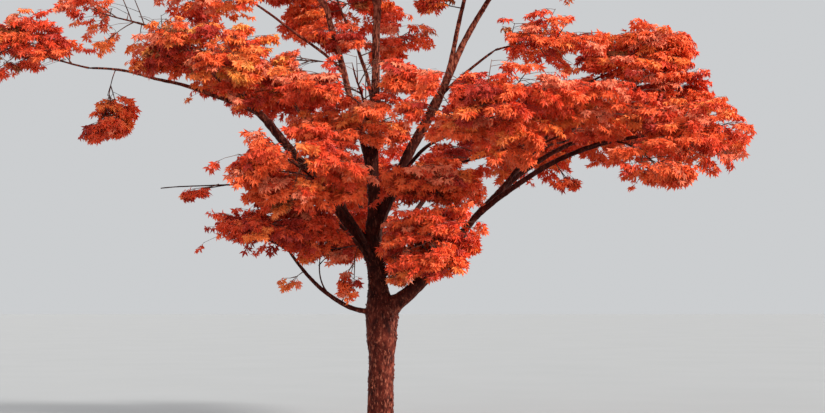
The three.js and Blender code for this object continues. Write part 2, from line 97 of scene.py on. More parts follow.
# Limbs: what each grows from, how far along it (millimetres up the trunk, or a share of a limb), its
# heading in degrees from +X, how far it reaches out and rises, how high its middle arches, how far
# its middle is pushed along the heading, and its diameter at its base and tip.
Limb = namedtuple("Limb", "name parent at heading reach rise arch push base tip")
LIMBS = [Limb(*row) for row in (
    ("leader", "trunk", 2420, 20, 50, 2500, 0, 0, 132, 80),
    ("leader_top", "leader", 1, 60, 120, 1060, 0, 50, 70, 42),
    ("leader_left", "leader", 0.97, 170, 420, 700, 60, 0, 50, 34),
    ("left_stem", "leader", 0.2, 170, 560, 2000, 0, 0, 84, 64),
    ("left_stem_top", "left_stem", 1, 150, 440, 320, 0, -20, 56, 36),
    ("left_stem_side", "left_stem", 0.62, 192, 1020, 720, 30, 0, 36, 26),
    ("right_stem", "trunk", 2300, 8, 770, 1605, 0, -50, 126, 112),
    ("right_stem_up", "right_stem", 1, 352, 288, 1375, 0, 30, 66, 40),
    ("right_stem_out", "right_stem", 0.99, 6, 790, 1475, 60, -30, 86, 48),
    ("right_stem_low", "right_stem", 0.97, 345, 660, 520, 30, 0, 38, 26),
    ("right_limb", "trunk", 1460, 352, 930, 930, -100, 0, 165, 100),
    ("right_low", "right_limb", 1, 350, 1980, 970, 220, 0, 76, 40),
    ("right_high", "right_limb", 0.97, 17, 1740, 1130, 200, 0, 76, 42),
    ("right_rise", "right_high", 0.45, 8, 700, 1000, 60, 0, 46, 32),
    ("right_hang", "right_low", 0.66, 310, 600, 20, 60, 0, 34, 24),
    ("right_back", "right_high", 0.3, 62, 1700, 650, 120, 0, 50, 32),
    ("right_front", "right_high", 0.28, 318, 620, 480, 60, 0, 42, 30),
    ("front_right", "right_stem", 0.33, 300, 1250, 480, 100, 0, 50, 32),
    ("low_right", "trunk", 1760, 312, 380, 330, 20, 0, 44, 30),
    ("left_limb", "trunk", 2080, 177, 1260, 1550, 20, 0, 132, 94),
    ("left_low", "left_limb", 1, 186, 1240, 420, 60, 0, 54, 36),
    ("left_outer", "left_low", 0.98, 178, 720, 120, 30, 0, 34, 26),
    ("left_high", "left_limb", 0.96, 168, 1060, 1000, 80, 0, 50, 34),
    ("front_left", "trunk", 2000, 244, 1000, 720, 60, 0, 58, 36),
    ("left_under", "trunk", 1960, 220, 560, 500, 30, 0, 52, 34),
    ("low_left", "trunk", 1500, 184, 1020, 680, -240, 0, 60, 32),
    ("near_right", "trunk", 2190, 312, 300, 560, 40, 0, 44, 30),
    ("back", "trunk", 1980, 102, 1900, 1050, 140, 0, 72, 40),
    ("back_left", "left_limb", 0.22, 118, 1800, 1650, 140, 0, 66, 38),
    ("back_right", "trunk", 1900, 54, 1650, 1350, 140, 0, 70, 40),
    ("back_high", "leader", 0.51, 108, 1300, 1300, 120, 0, 50, 34),
)]

# Masses of foliage: the limb that carries each, how far along it the stem leaves, its heading and
# climb in degrees, the mass's length, width and depth, how far its middle sits above its stem, how
# full of leaves it is, and its tints.
Mass = namedtuple("Mass", "name on at heading climb long wide deep lift fullness tints", defaults=["scarlet"])
MASSES = [Mass(f"{name}_foliage", *row) for name, *row in (
    ("outer_right", "right_low", 1, 352, -14, 1300, 1900, 900, 190, 1),
    ("right_middle", "right_high", 1, 20, 8, 1500, 1800, 900, 260, 1.3),
    ("right_crest", "right_rise", 1, 5, 12, 1270, 1650, 900, 190, 1.4),
    ("right_hanging", "right_hang", 1, 300, -22, 900, 820, 600, -70, 0.9),
    ("right_back", "right_back", 1, 60, 12, 1900, 2100, 1050, 200, 1),
    ("right_front", "right_front", 1, 330, 12, 1500, 1700, 820, 240, 1),
    ("front_right", "front_right", 1, 300, 8, 1800, 1900, 1150, 130, 1.3),
    ("low_right", "low_right", 1, 305, 12, 1180, 1350, 1000, 90, 1.6),
    ("centre_front", "leader", 0.346, 262, 22, 1900, 2000, 1050, 160, 1.3),
    ("front_left", "front_left", 1, 246, 8, 1650, 1700, 950, 160, 1.2),
    ("left_under", "left_under", 1, 208, -14, 1580, 1450, 800, 120, 1.35, "crimson"),
    ("low_left", "low_left", 1, 192, 4, 860, 1050, 540, 220, 1.1, "crimson"),
    ("near_right", "near_right", 1, 325, 6, 1000, 1150, 640, 40, 1.5),
    ("left_hanging", "left_outer", 0.6, 190, -76, 700, 580, 460, -260, 1.8),
    ("far_left", "left_outer", 1, 178, 6, 1650, 1700, 900, 200, 0.6, "crimson"),
    ("left_high", "left_high", 1, 165, 14, 1700, 1800, 1000, 120, 0.32, "orange"),
    ("left_front", "left_limb", 1, 228, 18, 1800, 1900, 1000, 300, 0.82, "orange"),
    ("upper_left", "left_stem_side", 1, 192, 14, 1500, 1700, 950, 50, 0.36, "orange"),
    ("top_left", "left_stem_top", 1, 140, 42, 1600, 2000, 1500, 50, 0.55, "orange"),
    ("top_middle", "leader_left", 1, 232, 42, 1700, 1700, 1400, 50, 0.75),
    ("top", "leader_top", 1, 60, 78, 1800, 1900, 1800, 0, 0.85),
    ("top_right", "right_stem_up", 1, 305, 42, 1800, 1900, 1400, 0, 0.65),
    ("upper_right", "right_stem_out", 1, 14, 20, 2000, 2200, 1400, 100, 0.85, "orange"),
    ("right_shoulder", "right_stem_low", 1, 350, 2, 1300, 1350, 800, 90, 0.3),
    ("back", "back", 1, 100, 10, 2000, 2300, 1150, 120, 1),
    ("back_left", "back_left", 1, 130, 10, 2000, 2200, 1150, 120, 1, "crimson"),
    ("back_right", "back_right", 1, 46, 10, 2000, 2400, 1150, 120, 1),
    ("back_high", "back_high", 1, 105, 30, 1900, 2100, 1300, 50, 1),
)]

# Small loose tufts on the limbs beside the masses and behind them, told in the same way
TUFTS = [Mass(*row) for row in (
    ("under_right", "right_low", 0.5, 330, -55, 460, 440, 320, -40, 1.2),
    ("under_right_outer", "right_low", 0.68, 320, -40, 520, 460, 320, -40, 1.1),
    ("inner_right", "right_high", 0.14, 215, 45, 560, 460, 380, 0, 0.8, "orange"),
    ("leader_right", "leader", 0.634, 350, 24, 820, 760, 600, 0, 1.0, "orange"),
    ("inner_top", "right_stem_up", 0.69, 185, 10, 640, 560, 460, 0, 0.6, "orange"),
    ("top_inner", "leader", 0.8, 182, 10, 820, 700, 460, 20, 1.1),
    ("left_stem_low", "left_stem", 0.66, 186, 2, 900, 700, 480, 0, 0.85, "orange"),
    ("low_inner", "low_left", 0.42, 322, 66, 560, 340, 300, 0, 0.5, "orange"),
    ("low_front", "left_under", 0.45, 240, -66, 760, 360, 340, 0, 0.6, "orange"),
    ("low_trunk_left", "left_under", 0.42, 205, -16, 800, 700, 580, 70, 1.6, "orange"),
    ("low_trunk_right", "trunk", 0.8, 315, 22, 900, 860, 620, 0, 2.2),
    ("fork_leaves", "trunk", 0.72, 325, 25, 560, 460, 340, 20, 1.6, "orange"),
    ("before_right", "right_limb", 0.66, 300, 45, 680, 820, 480, 10, 1.7),
    ("low_outer", "low_left", 0.82, 200, -35, 340, 320, 280, 0, 1.7, "orange"),
    ("spur_leaves", "left_spur", 0.66, 205, -12, 480, 420, 220, -40, 0.45, "crimson"),
    ("high_right", "back_high", 0.45, 30, 20, 1100, 1100, 640, 60, 1.1),
    ("behind_right", "back_right", 0.6, 110, 24, 1200, 1300, 700, 80, 1.1),
    ("behind_left", "back_left", 0.6, 60, 16, 1200, 1200, 700, 80, 1.1, "crimson"),
    ("beside_right", "right_back", 0.45, 110, 20, 1100, 1100, 640, 60, 1.1),
    ("behind_low", "back", 0.62, 80, 10, 900, 900, 520, 60, 1.2),
    ("behind_trunk", "trunk", 0.84, 95, 26, 1400, 1500, 760, 40, 1.1),
)]

# Thin, mostly bare boughs, each with its fork: one that reaches out to the left under the crown, and
# one that rises from the low left bough
SPURS = [Limb(*row) for row in (
    ("left_spur", "left_limb", 0.4, 183, 1850, 110, 90, 0, 26, 12),
    ("left_spur_fork", "left_spur", 0.62, 203, 460, -90, 0, 0, 14, 8),
    ("low_twig", "low_left", 0.6, 200, 50, 440, 0, 40, 20, 12),
    ("low_twig_fork", "low_twig", 0.72, 345, 280, 190, 50, 0, 13, 8),
)]

CLUSTERS = MASSES + TUFTS
LIMB_NAMES = [limb.name for limb in LIMBS]
MASS_NAMES = [mass.name for mass in MASSES]

# How a mass's stem and main twigs grow, by the source's rule
SEED = 1907
STREAM_STEP = 0x6D2B79F5
STREAM_RANGE = 2 ** 32
STEM_BACK = 0.86
STEM_AHEAD = 0.6
TWIGS = 7
TWIG_TRIES = 3
TWIG_SHORTENING = 0.84
BACKMOST_TWIG = -0.75
GOLDEN_ANGLE = math.pi * (3 - math.sqrt(5))
TWIG_JITTER = 0.8
TWIG_REACH = 0.66
TWIG_REACH_SPREAD = 0.14
TWIG_STARTS = (0.1, 0.86)
TWIG_CHECKED_FROM = 0.2
TWIG_CHECKS = 9
SPACE_MARGIN = 0.045
SPOT_SPACING = 40
LIMB_CLEARANCE = 14
STEM_TAPER = 0.92

# What this scene adds to that rule
MORE_TWIGS = 8  # further main twigs of a mass, between the source's own
MORE_SEED = 4096
MORE_REACH = 0.78
MORE_TURN = 1.2
END_TWIG = (0.97, 0.9)  # the twig that carries a stem on: its start along it, and its reach ahead
TUFT_TWIGS = 5
TUFT_STARTS = (0.25, 0.85)
TUFT_AHEAD = (0.9, 1.1)  # how far ahead a tuft's first twig reaches, and how that falls along it
TUFT_ASIDE = 0.75
STEM_TIP_SHARE = 0.3
SIDE_STEM = 0.5  # how much thinner a stem is that leaves the side of a limb
CONTINUES_FROM = 0.9  # a limb or stem that starts this far along another continues it
TWIG_POINTS = 9
TWIG_STEP = 2  # a main twig's mesh has a ring at each second of its points
TWIG_SIDES = 5
TWIG_RISE = 0.06  # how far the middle of a main twig bows up, by its length
TWIG_RADII = (0.0075, 0.003)

# Side twigs, which leave their twig in opposite pairs: the part of it that they leave, how far
# apart the pairs stand, their length and how much of it is lost towards the twig's tip, the angle
# that they leave at, how they are turned about it, how they sag, their points, sides and radii
Side = namedtuple("Side", "first last spacing length falloff angle roll sag points sides radii")
BRANCHLETS = Side(0.14, 0.97, 0.085, 0.4, 0.4, 0.95, 0.6, 0.16, 3, 3, (0.0034, 0.0018))
SHOOTS = Side(0.2, 1.0, 0.07, 0.16, 0.3, 0.85, 0.8, 0.25, 2, 3, (0.0019, 0.0012))
PAIR_STRAY = 0.25
ROLL_STRAY = 0.35
SIDE_SPREAD = 0.3  # how far their angles and lengths vary
FLATTENING = 0.72  # how far side twigs keep to level tiers
SHORTENINGS = (1.0, 0.72, 0.5)
STUBS = (0.03, 0.05)  # how far main twigs and branchlets go on past the last twig that they carry
TWIG_EDGE = 0.93
LEAF_EDGE = 1.1

# Stretches of limb that the photograph shows in front of the leaves, as shares of the limb, and
# where that view is from. Only a few sprays hang in front of them.
SHOWN = (
    ("trunk", 0.6, 1.0),
    ("leader", 0.0, 0.24), ("leader", 0.62, 1.0), ("left_limb", 0.0, 0.3), ("left_limb", 0.66, 1.0),
    ("left_low", 0.3, 1.0), ("left_stem", 0.52, 1.0), ("right_stem", 0.08, 0.25), ("right_stem", 0.57, 1.0),
    ("right_limb", 0.0, 0.45), ("right_low", 0.0, 0.85), ("right_high", 0.0, 0.4),
    ("right_stem_out", 0.0, 0.9), ("right_stem_up", 0.0, 0.9), ("low_left", 0.0, 0.8),
    ("low_twig", 0.0, 1.0), ("low_twig_fork", 0.0, 0.7),
)
SHOWN_SPACING = 0.05
VIEWPOINT = np.array((0.37, -16.0, 1.6))
VIEW_MARGIN = 0.04
VIEW_LEFT = 0.12  # the share of shoots that stay in front

# Openings in the crown that the photograph shows from there: the middle of each across and up, in
# the upright plane through the trunk's foot, how far it reaches to each side and up and down, and
# the share of shoots that stay in it
OPENINGS = (
    (-0.26, 4.2, 0.15, 0.24, 0.05),
    (-0.73, 4.3, 0.17, 0.2, 0.05),
    (0.45, 4.59, 0.26, 0.32, 0.35),
    (1.15, 4.28, 0.22, 0.15, 0.05),
    (1.64, 4.1, 0.17, 0.11, 0.05),
    (2.38, 4.7, 0.24, 0.13, 0.05),
    (-2.96, 4.7, 0.7, 0.22, 0.5),
    (-3.3, 4.25, 0.24, 0.15, 0.05),
    (-1.9, 3.68, 0.32, 0.18, 0.05),
    (-1.66, 3.33, 0.22, 0.2, 0.05),
    (-1.29, 2.12, 0.33, 0.15, 0.05),
)

# How the fine growth fills the crown
LOBES_AND_RAGS = ((2.4, 0.42), (6.5, 0.3))  # how fine and how deep each are at a mass's edge
BRIDGE = 0.34
BRIDGE_WITHIN = (1.9, 1.1)  # how far out of a neighbour's middle a bridge to it begins and is whole
MINGLING = 0.1
TIER_SCALE = 0.95
TIER_STRETCH = 3.6
TIER_DROOP = 0.3  # how much lower a tier lies a metre out from its mass's middle
TIER_LEVELS = (-0.2, 0.02)
TIER_FILLING = 0.55  # how far a fullness above 1 fills the gaps between a mass's tiers
INNER_SHARE = 0.28
SHELL = (0.3, 0.7)
BOX_MARGIN = 0.02

# A leaf: three leaflets, by the length of the middle one. The points of a leaflet are its root, its
# tip and its two sides, and it is folded along its midrib. The middle leaflet narrows into the
# leaf's stalk, whose foot is on the twig, and the side leaflets leave the stalk's far end.
LEAFLET_LENGTH = 0.064
LEAFLET_SPREAD = 0.22
STALK = 0.4
MIDDLE_LEAFLET = ((0, 0, 0), (1 + STALK, 0, -0.12), (0.42 + STALK, 0.18, 0.05), (0.5 + STALK, -0.17, 0.05))
SIDE_LEAFLET = ((0, 0, 0), (1, 0, -0.14), (0.4, 0.17, 0.05), (0.48, -0.19, 0.05))
LEAFLET_FACES = ((0, 1, 2), (0, 3, 1))
SIDE_LEAFLET_TURN = 0.85
SIDE_LEAFLET_SIZE = 0.88
LEAF_SPACING = 0.035
FIRST_LEAVES = 0.8  # how far up a shoot its first pair stands, in spaces between pairs
SPARE_SHOOT = 0.3  # how much longer a shoot is than its pairs, in the same spaces
LEAF_FORWARD = 0.6
LEAF_ASIDE = 0.95
LEAF_DROOP = 1.0
LEAF_STRAY = 0.35
LEAF_FACING = {"mass": 0.45, "crown": 0.5, "up": 0.5, "stray": 0.72}
LEAF_CURL = (0.4, 2.2)
MOST_TRIANGLES = 190_000

# Tints of the leaves: the colour and material slot of each, and how many of a hundred sprays have
# it in a scarlet, a crimson and an orange mass
Tint = namedtuple("Tint", "colour slot scarlet crimson orange")
TINTS = {
    "scarlet": Tint((0.76, 0.076, 0.022), "leaf_scarlet", 30, 40, 14),
    "vermilion": Tint((0.86, 0.13, 0.032), "leaf_scarlet", 36, 22, 24),
    "flame": Tint((0.9, 0.21, 0.045), "leaf_orange", 12, 4, 34),
    "coral": Tint((0.9, 0.235, 0.115), "leaf_scarlet", 12, 8, 14),
    "orange": Tint((0.9, 0.32, 0.06), "leaf_orange", 0, 0, 6),
    "crimson": Tint((0.5, 0.035, 0.016), "leaf_crimson", 9, 24, 3),
    "russet": Tint((0.42, 0.12, 0.035), "leaf_orange", 1, 2, 5),
}
TINT_ORDER = np.array(("crimson", "russet", "scarlet", "vermilion", "coral", "flame", "orange"))
TINT_SCALE = 2.6
TINT_DRIFT = 0.4
TINT_STRAY = 0.27
TINT_PAINTED_SHADE = 0.3  # painted shade: how much redder and darker the sprays inside a mass are than those at its edge
TINT_EVEN = 0.55
TINT_MIDDLE = 0.5
TINT_LEVELS = (0, 0.999)

# Limbs as solids: their wandering, how they leave their parent, their rings and their ends
SWAY = 0.024  # how far a limb strays from its plain curve
SWAY_SCALE = 1.7
SWAY_FROM = (0.9, 1.7)
SWAY_PLACES = (0.0, 31.4, 72.8)  # how far off the noise is read for a move along x, y and z
LEAD_IN = 1.3  # how far back inside its parent a limb starts, by the parent's radius
LEAD_POINTS = 7
LEAD_SHARE = 0.97  # a limb is no thicker than this share of its parent while inside it
SMOOTHINGS = 26
LINE_SPACING = 0.03
TRUNK_RINGS = 0.011
BOUGH_RINGS = 0.026
STEM_RINGS = 0.032
SIDE_SPACING = 0.014
MOST_SIDES = 88
LEAST_SIDES = 7
END_SHARE = 0.45  # how much of its radius a limb keeps at its end, inside those that continue it
END_STRETCH = 0.1
TIP_LENGTH = 1.2
TIP_PLACES = np.array((0.35, 0.65, 0.88, 1.0))
TIP_RADII = np.array((0.93, 0.74, 0.45, 0.08))
FILLET = 0.85  # how far a fork's web reaches, by the thinner limb's radius
FILLET_HEIGHT = 0.25
FILLET_STEP = 3  # a web heeds each third ring of the other limbs

# Relief of the bark. A noise is told by how fine it is round a limb and how that is scaled along it.
BARK_PLATES = (26.0, 0.62)
BARK_GRAIN = (75.0, 1.0)
BARK_SWELL = (3.4, 0.45)
RELIEF_PLACES = (7.3, 3.1, 5.7)  # how far off each next limb reads the noise
PLATE_EDGE = (-0.1, 0.22)  # the noise at the foot of a plate's edge, and how far it rises to the top
PLATE_HEIGHT = 0.004
GRAIN_HEIGHT = 0.0016
SWELL_SHARE = 0.05
RELIEF_SHARE = 0.075  # plates and grain are never higher than this share of the radius

# Curls of peeling bark, which come in patches
CURLS = 900
CURL_LEAST_RADIUS = 0.026
CURL_PATCHES = (7.0, 0.45)
PATCH_LEVELS = (-0.1, 0.35)
CURL_COLUMNS = 5
CURL_ROWS = 4
CURL_WIDTH = (0.005, 0.017)
CURL_HEIGHT = (0.012, 0.06)
CURL_THINNING = (0.1, 0.45)  # the radius below which curls are smaller, and how small they become
CURL_LIFT = (0.0, 0.16)
CURL_ROLL = (0.5, 3.4)
CURL_NARROWING = (0.35, 0.96)
CURL_RAGS = 0.4
CURL_GAP = 0.0006
LOWEST_CURL = 0.001

# Steps of the working
LINE_POINTS = 61
TRUNK_POINTS = 121
STEM_POINTS = 20
BATCH = 4000
LEAST_LENGTH = 1e-12
NUDGE = 1e-6
UPRIGHT = 0.05

rng = np.random.default_rng(SEED)


# Vectors, lines and spaces

def length_of(vectors):
    return np.linalg.norm(vectors, axis=-1)


def unit(vectors):
    return vectors / np.maximum(length_of(vectors), LEAST_LENGTH)[..., None]


def dot(a, b):
    return np.sum(a * b, axis=-1, keepdims=True)


def level_across(forward):
    """The level direction square to each direction."""
    return unit(np.cross(forward, UP) + NUDGE)


def heading_vector(degrees):
    angle = math.radians(degrees)
    return np.array((math.cos(angle), math.sin(angle), 0.0))


def smoothstep(low, high, value):
    share = np.clip((value - low) / (high - low), 0, 1)
    return share * share * (3 - 2 * share)


def varied(spread, count):
    """That many factors spread evenly about 1."""
    return 1 + rng.uniform(-1, 1, count) * spread


def noise_at(points, scale, stretch=1.0):
    """A smooth noise of about -0.5 to 0.5 at each point, its height stretched or flattened."""
    factors = (scale, scale, scale * stretch)
    return np.array([noise.noise(Vector((x, y, z))) for x, y, z in points * factors])


def in_batches(measure, *arrays):
    """What measure gives for each row of the arrays, found for some thousand rows at a time."""
    lows = range(0, len(arrays[0]), BATCH)
    return np.concatenate([measure(*(rows[low:low + BATCH] for rows in arrays)) for low in lows])


def along(lines, share):
    """The point of each line (n, m, 3) at that share of it, and its direction there."""
    last = lines.shape[1] - 1
    place = np.clip(share, 0, 1) * last
    low = np.minimum(place.astype(int), last - 1)
    part = (place - low)[:, None]
    rows = np.arange(len(lines))
    a, b = lines[rows, low], lines[rows, low + 1]
    return a + (b - a) * part, unit(b - a)


def points_on(line, shares):
    return along(np.broadcast_to(line, (len(shares), *line.shape)), shares)[0]


def point_on(line, share):
    return points_on(line, np.array([share]))[0]


def line_length(lines):
    return np.sum(length_of(np.diff(lines, axis=-2)), axis=-1)


def way_along(line):
    """How far along the line each of its points lies."""
    return np.concatenate(([0], np.cumsum(length_of(np.diff(line, axis=0)))))


def bowed_line(start, end, bulge=0, count=LINE_POINTS):
    """The curve from start to end whose middle is moved by the vector bulge."""
    middle = (start + end) / 2 + bulge * 2
    t = np.linspace(0, 1, count)[:, None]
    return start * (1 - t) ** 2 + middle * 2 * t * (1 - t) + end * t ** 2


def trunk_line(z):
    """The trunk's middle at heights in millimetres, in metres."""
    z = np.asarray(z, float)
    bow = TRUNK_BOW * np.sin(np.pi / 2 * np.minimum(z / TRUNK_LEAN_HEIGHT, 1))
    back = TRUNK_LEAN_BACK * np.maximum(0, z - TRUNK_LEAN_HEIGHT) / (TRUNK_HEIGHT - TRUNK_LEAN_HEIGHT)
    return np.stack((bow - back, np.zeros_like(z), z), axis=-1) * MM


def trunk_radius(z):
    above = np.maximum(0, (z - FORK_HEIGHT) / (TRUNK_HEIGHT - FORK_HEIGHT))
    narrowing = ((TRUNK_DIAMETER - TRUNK_TOP_DIAMETER) / 2
                 * (1 - np.exp(-FORK_NARROWING * above)) / (1 - math.exp(-FORK_NARROWING)))
    flare = ROOT_FLARE * np.exp(-z / ROOT_FLARE_HEIGHT)
    swell = FORK_SWELL * np.exp(-(((z - FORK_HEIGHT) / FORK_SWELL_REACH) ** 2))
    return (TRUNK_DIAMETER / 2 - narrowing + flare + swell) * MM


def radius_on(name, share):
    """The radius of the trunk or of a limb at that share of it."""
    if name == "trunk":
        return trunk_radius(share * TRUNK_HEIGHT)
    limb = LIMB_OF[name]
    return (limb.base + (limb.tip - limb.base) * share) / 2 * MM


def limb_line(limb):
    start = trunk_line(limb.at) if limb.parent == "trunk" else point_on(LINES[limb.parent], limb.at)
    heading = heading_vector(limb.heading)
    end = start + (heading * limb.reach + UP * limb.rise) * MM
    return bowed_line(start, end, (heading * limb.push + UP * limb.arch) * MM)


def spots_down(line, name, at=None):
    """Points down the middle of a line, for keeping clear of it, and a radius at each: the named
    limb's own, or everywhere the one that it has at one share of it."""
    shares = np.linspace(0, 1, math.ceil(line_length(line) / (SPOT_SPACING * MM)) + 1)
    return points_on(line, shares), radius_on(name, shares if at is None else np.full(len(shares), at))


def source_draws(seed):
    """The repeatable stream of numbers from 0 to 1 that the part's source draws from."""
    while True:
        seed = (seed + STREAM_STEP) % STREAM_RANGE
        t = (seed ^ (seed >> 15)) * (seed | 1) % STREAM_RANGE
        t ^= (t + (t ^ (t >> 7)) * (t | 61)) % STREAM_RANGE
        yield (t ^ (t >> 14)) / STREAM_RANGE


class Space:
    """The space that a mass keeps to: an ellipsoid, up to where a neighbour's is nearer."""

    def __init__(self, mass):
        heading = heading_vector(mass.heading)
        climb = math.radians(mass.climb)
        self.entry = point_on(LINES[mass.on], mass.at)
        self.forward = heading * math.cos(climb) + UP * math.sin(climb)
        self.side = np.array((-heading[1], heading[0], 0.0))
        self.over = np.cross(self.forward, self.side)
        self.half = np.array((mass.long, mass.wide, mass.deep)) / 2 * MM
        self.middle = self.entry + self.forward * self.half[0] * STEM_BACK + UP * mass.lift * MM
        self.stem_end = self.middle + self.forward * self.half[0] * STEM_AHEAD

    def on_stem(self, share):
        return self.entry + (self.stem_end - self.entry) * share

    def point(self, ahead, aside, above):
        return (self.middle + self.forward * ahead * self.half[0]
                + self.side * aside * self.half[1] + self.over * above * self.half[2])


def own_and_next(points, owner):
    """How far out of its own mass's middle each point lies, and out of the nearest other's, where 1
    is the edge of its space. A tuft heeds no other, and no mass heeds a tuft."""
    def measure(points, owner):
        spreads = length_of(np.einsum("nmi,mji->nmj", points[:, None] - MIDDLES, AXES))
        rows = np.arange(len(points))
        own = spreads[rows, owner]
        spreads[rows, owner] = np.inf
        return np.stack((own, spreads[:, :len(MASSES)].min(axis=1)), axis=1)

    own, nearest = in_batches(measure, points, owner).T
    return own, np.where(owner < len(MASSES), nearest, np.inf)


def keeps_to_space(path, index):
    """The source's rule: in its own mass's space, and nearer its middle than any other's."""
    own, nearest = own_and_next(path, np.full(len(path), index))
    return np.all((own < 1) & (nearest > own + SPACE_MARGIN))


def keeps_to_crown(points, owner, edge):
    """The rule for fine growth: as far as the edge, ragged here and there, and further where a
    neighbouring mass is close, so that the two meet."""
    own, nearest = own_and_next(points, owner)
    uneven = sum(depth * noise_at(points, scale) for scale, depth in LOBES_AND_RAGS)
    limit = edge + uneven + BRIDGE * smoothstep(*BRIDGE_WITHIN, nearest)
    return (own < limit) & (nearest > own - MINGLING)


def inside_box(points):
    low, high = (np.array(corner) for corner in CAD_BOX)
    return np.all((points > low - BOX_MARGIN) & (points < high + BOX_MARGIN), axis=1)


# The source's own limbs, stems and main twigs

LIMB_OF = {limb.name: limb for limb in LIMBS + SPURS}
LINES = {"trunk": trunk_line(np.linspace(0, TRUNK_HEIGHT, TRUNK_POINTS))}
for limb in LIMBS + SPURS:
    LINES[limb.name] = limb_line(limb)
SPACES = [Space(cluster) for cluster in CLUSTERS]
MIDDLES = np.array([space.middle for space in SPACES])
AXES = np.array([np.stack((s.forward, s.side, s.over)) / s.half[:, None] for s in SPACES])
FULLNESS = np.array([cluster.fullness for cluster in CLUSTERS])
LIMB_SPOTS = [spots_down(LINES[name], name) for name in ("trunk", *LIMB_NAMES)]
STEM_SPOTS = [spots_down(np.linspace(space.entry, space.stem_end, 2), mass.on, mass.at)
              for mass, space in zip(MASSES, SPACES)]


def main_twigs(index, seed, count, reach_share, first_angle=0.0):
    """Twigs that leave a mass's stem in turn round a golden-angle spiral, as their share of the
    stem and their far end, left out where they can't keep to their space."""
    draws = source_draws(seed + index)
    space = SPACES[index]
    passed = LIMB_SPOTS + STEM_SPOTS[:index] + STEM_SPOTS[index + 1:]
    spots, radii = (np.concatenate(arrays) for arrays in zip(*passed))
    found = []
    for k in range(count):
        ahead = 1 - (1 - BACKMOST_TWIG) * (k + 0.5) / count
        angle = first_angle + k * GOLDEN_ANGLE + next(draws) * TWIG_JITTER
        ring = math.sqrt(1 - ahead * ahead)
        low, high = TWIG_STARTS
        share = low + (high - low) * (ahead - BACKMOST_TWIG) / (1 - BACKMOST_TWIG)
        start = space.on_stem(share)
        reach = reach_share + TWIG_REACH_SPREAD * next(draws)
        for _ in range(TWIG_TRIES):
            end = space.point(ahead * reach, ring * math.cos(angle) * reach, ring * math.sin(angle) * reach)
            path = start + (end - start) * np.linspace(TWIG_CHECKED_FROM, 1, TWIG_CHECKS)[:, None]
            away = length_of(path[:, None] - spots) - radii
            if (away > LIMB_CLEARANCE * MM).all() and keeps_to_space(path, index):
                found.append((share, end))
                break
            reach *= TWIG_SHORTENING
    return found


# Meshes from arrays

def frames(lines):
    """Two directions square to each line, which turn as little as they can."""
    forward = unit(np.gradient(lines, axis=-2))
    across = np.empty(forward.shape)
    start = np.cross(forward[:, 0], UP)
    upright = length_of(start) < UPRIGHT
    start[upright] = np.cross(forward[upright, 0], np.array((0.0, 1.0, 0.0)))
    across[:, 0] = unit(start)
    for i in range(1, lines.shape[1]):
        across[:, i] = unit(across[:, i - 1] - forward[:, i] * dot(across[:, i - 1], forward[:, i]))
    return across, np.cross(forward, across)


def ring_angles(sides):
    return np.arange(sides) * (2 * np.pi / sides)


def tubes(lines, radii, sides, level=False):
    """Rings of vertices round many lines at once, their outward directions, and their faces. Level
    rings lie flat, with their first vertex on the +X side."""
    count, rings = lines.shape[:2]
    x_and_y = (np.broadcast_to(axis, lines.shape) for axis in np.eye(3)[:2])
    across, over = x_and_y if level else frames(lines)
    angles = ring_angles(sides)[:, None]
    outward = across[:, :, None] * np.cos(angles) + over[:, :, None] * np.sin(angles)
    vertices = lines[:, :, None] + outward * radii[:, :, None, None]
    index = np.arange(count * rings * sides).reshape(count, rings, sides)
    beside = np.roll(index, -1, axis=2)
    quads = np.stack((index[:, :-1], beside[:, :-1], beside[:, 1:], index[:, 1:]), axis=-1)
    caps = index[:, -1]
    feet = index[:, 0, ::-1]
    return vertices, outward, [quads.reshape(-1, 4), caps.reshape(-1, sides), feet.reshape(-1, sides)]


def make_piece(name, parts, material, slot, replaced=(), smooth=True):
    """One mesh object from parts, each its vertices and arrays of faces, in place of the nodes that
    it replaces."""
    vertices, polygons, start = [], [], 0
    for part_vertices, part_polygons in parts:
        vertices.append(part_vertices)
        for faces in part_polygons:
            polygons += (faces + start).tolist()
        start += len(part_vertices)
    mesh = bpy.data.meshes.new(name)
    mesh.from_pydata(np.concatenate(vertices), [], polygons, shade_flat=not smooth)
    mesh.validate()
    mesh.materials.append(material)
    piece = bpy.data.objects.new(name, mesh)
    bpy.context.scene.collection.objects.link(piece)
    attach(piece, "root")
    if replaced:
        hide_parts(*replaced)


# Wood: the trunk and limbs, each mass's stem, and their bark

Rod = namedtuple("Rod", "line radii level")
Bark = namedtuple("Bark", "vertices outward lengthways radii relief")


def sway(points):
    """The points moved by a slow wandering, the same wherever two limbs meet."""
    moves = np.stack([noise_at(points + place, SWAY_SCALE) for place in SWAY_PLACES], axis=1)
    return points + moves * SWAY * smoothstep(*SWAY_FROM, points[:, 2:])


def respaced(line, spacing):
    """A line through the same points, its own points evenly spaced."""
    places = way_along(line)
    count = max(3, int(round(places[-1] / spacing)) + 1)
    wanted = np.linspace(0, places[-1], count)
    return np.stack([np.interp(wanted, places, axis) for axis in line.T], axis=1)


def eased(line, times):
    """The line with its corners rounded, its ends kept."""
    line = line.copy()
    for _ in range(times):
        line[1:-1] = (line[:-2] + line[1:-1] * 2 + line[2:]) / 4
    return line


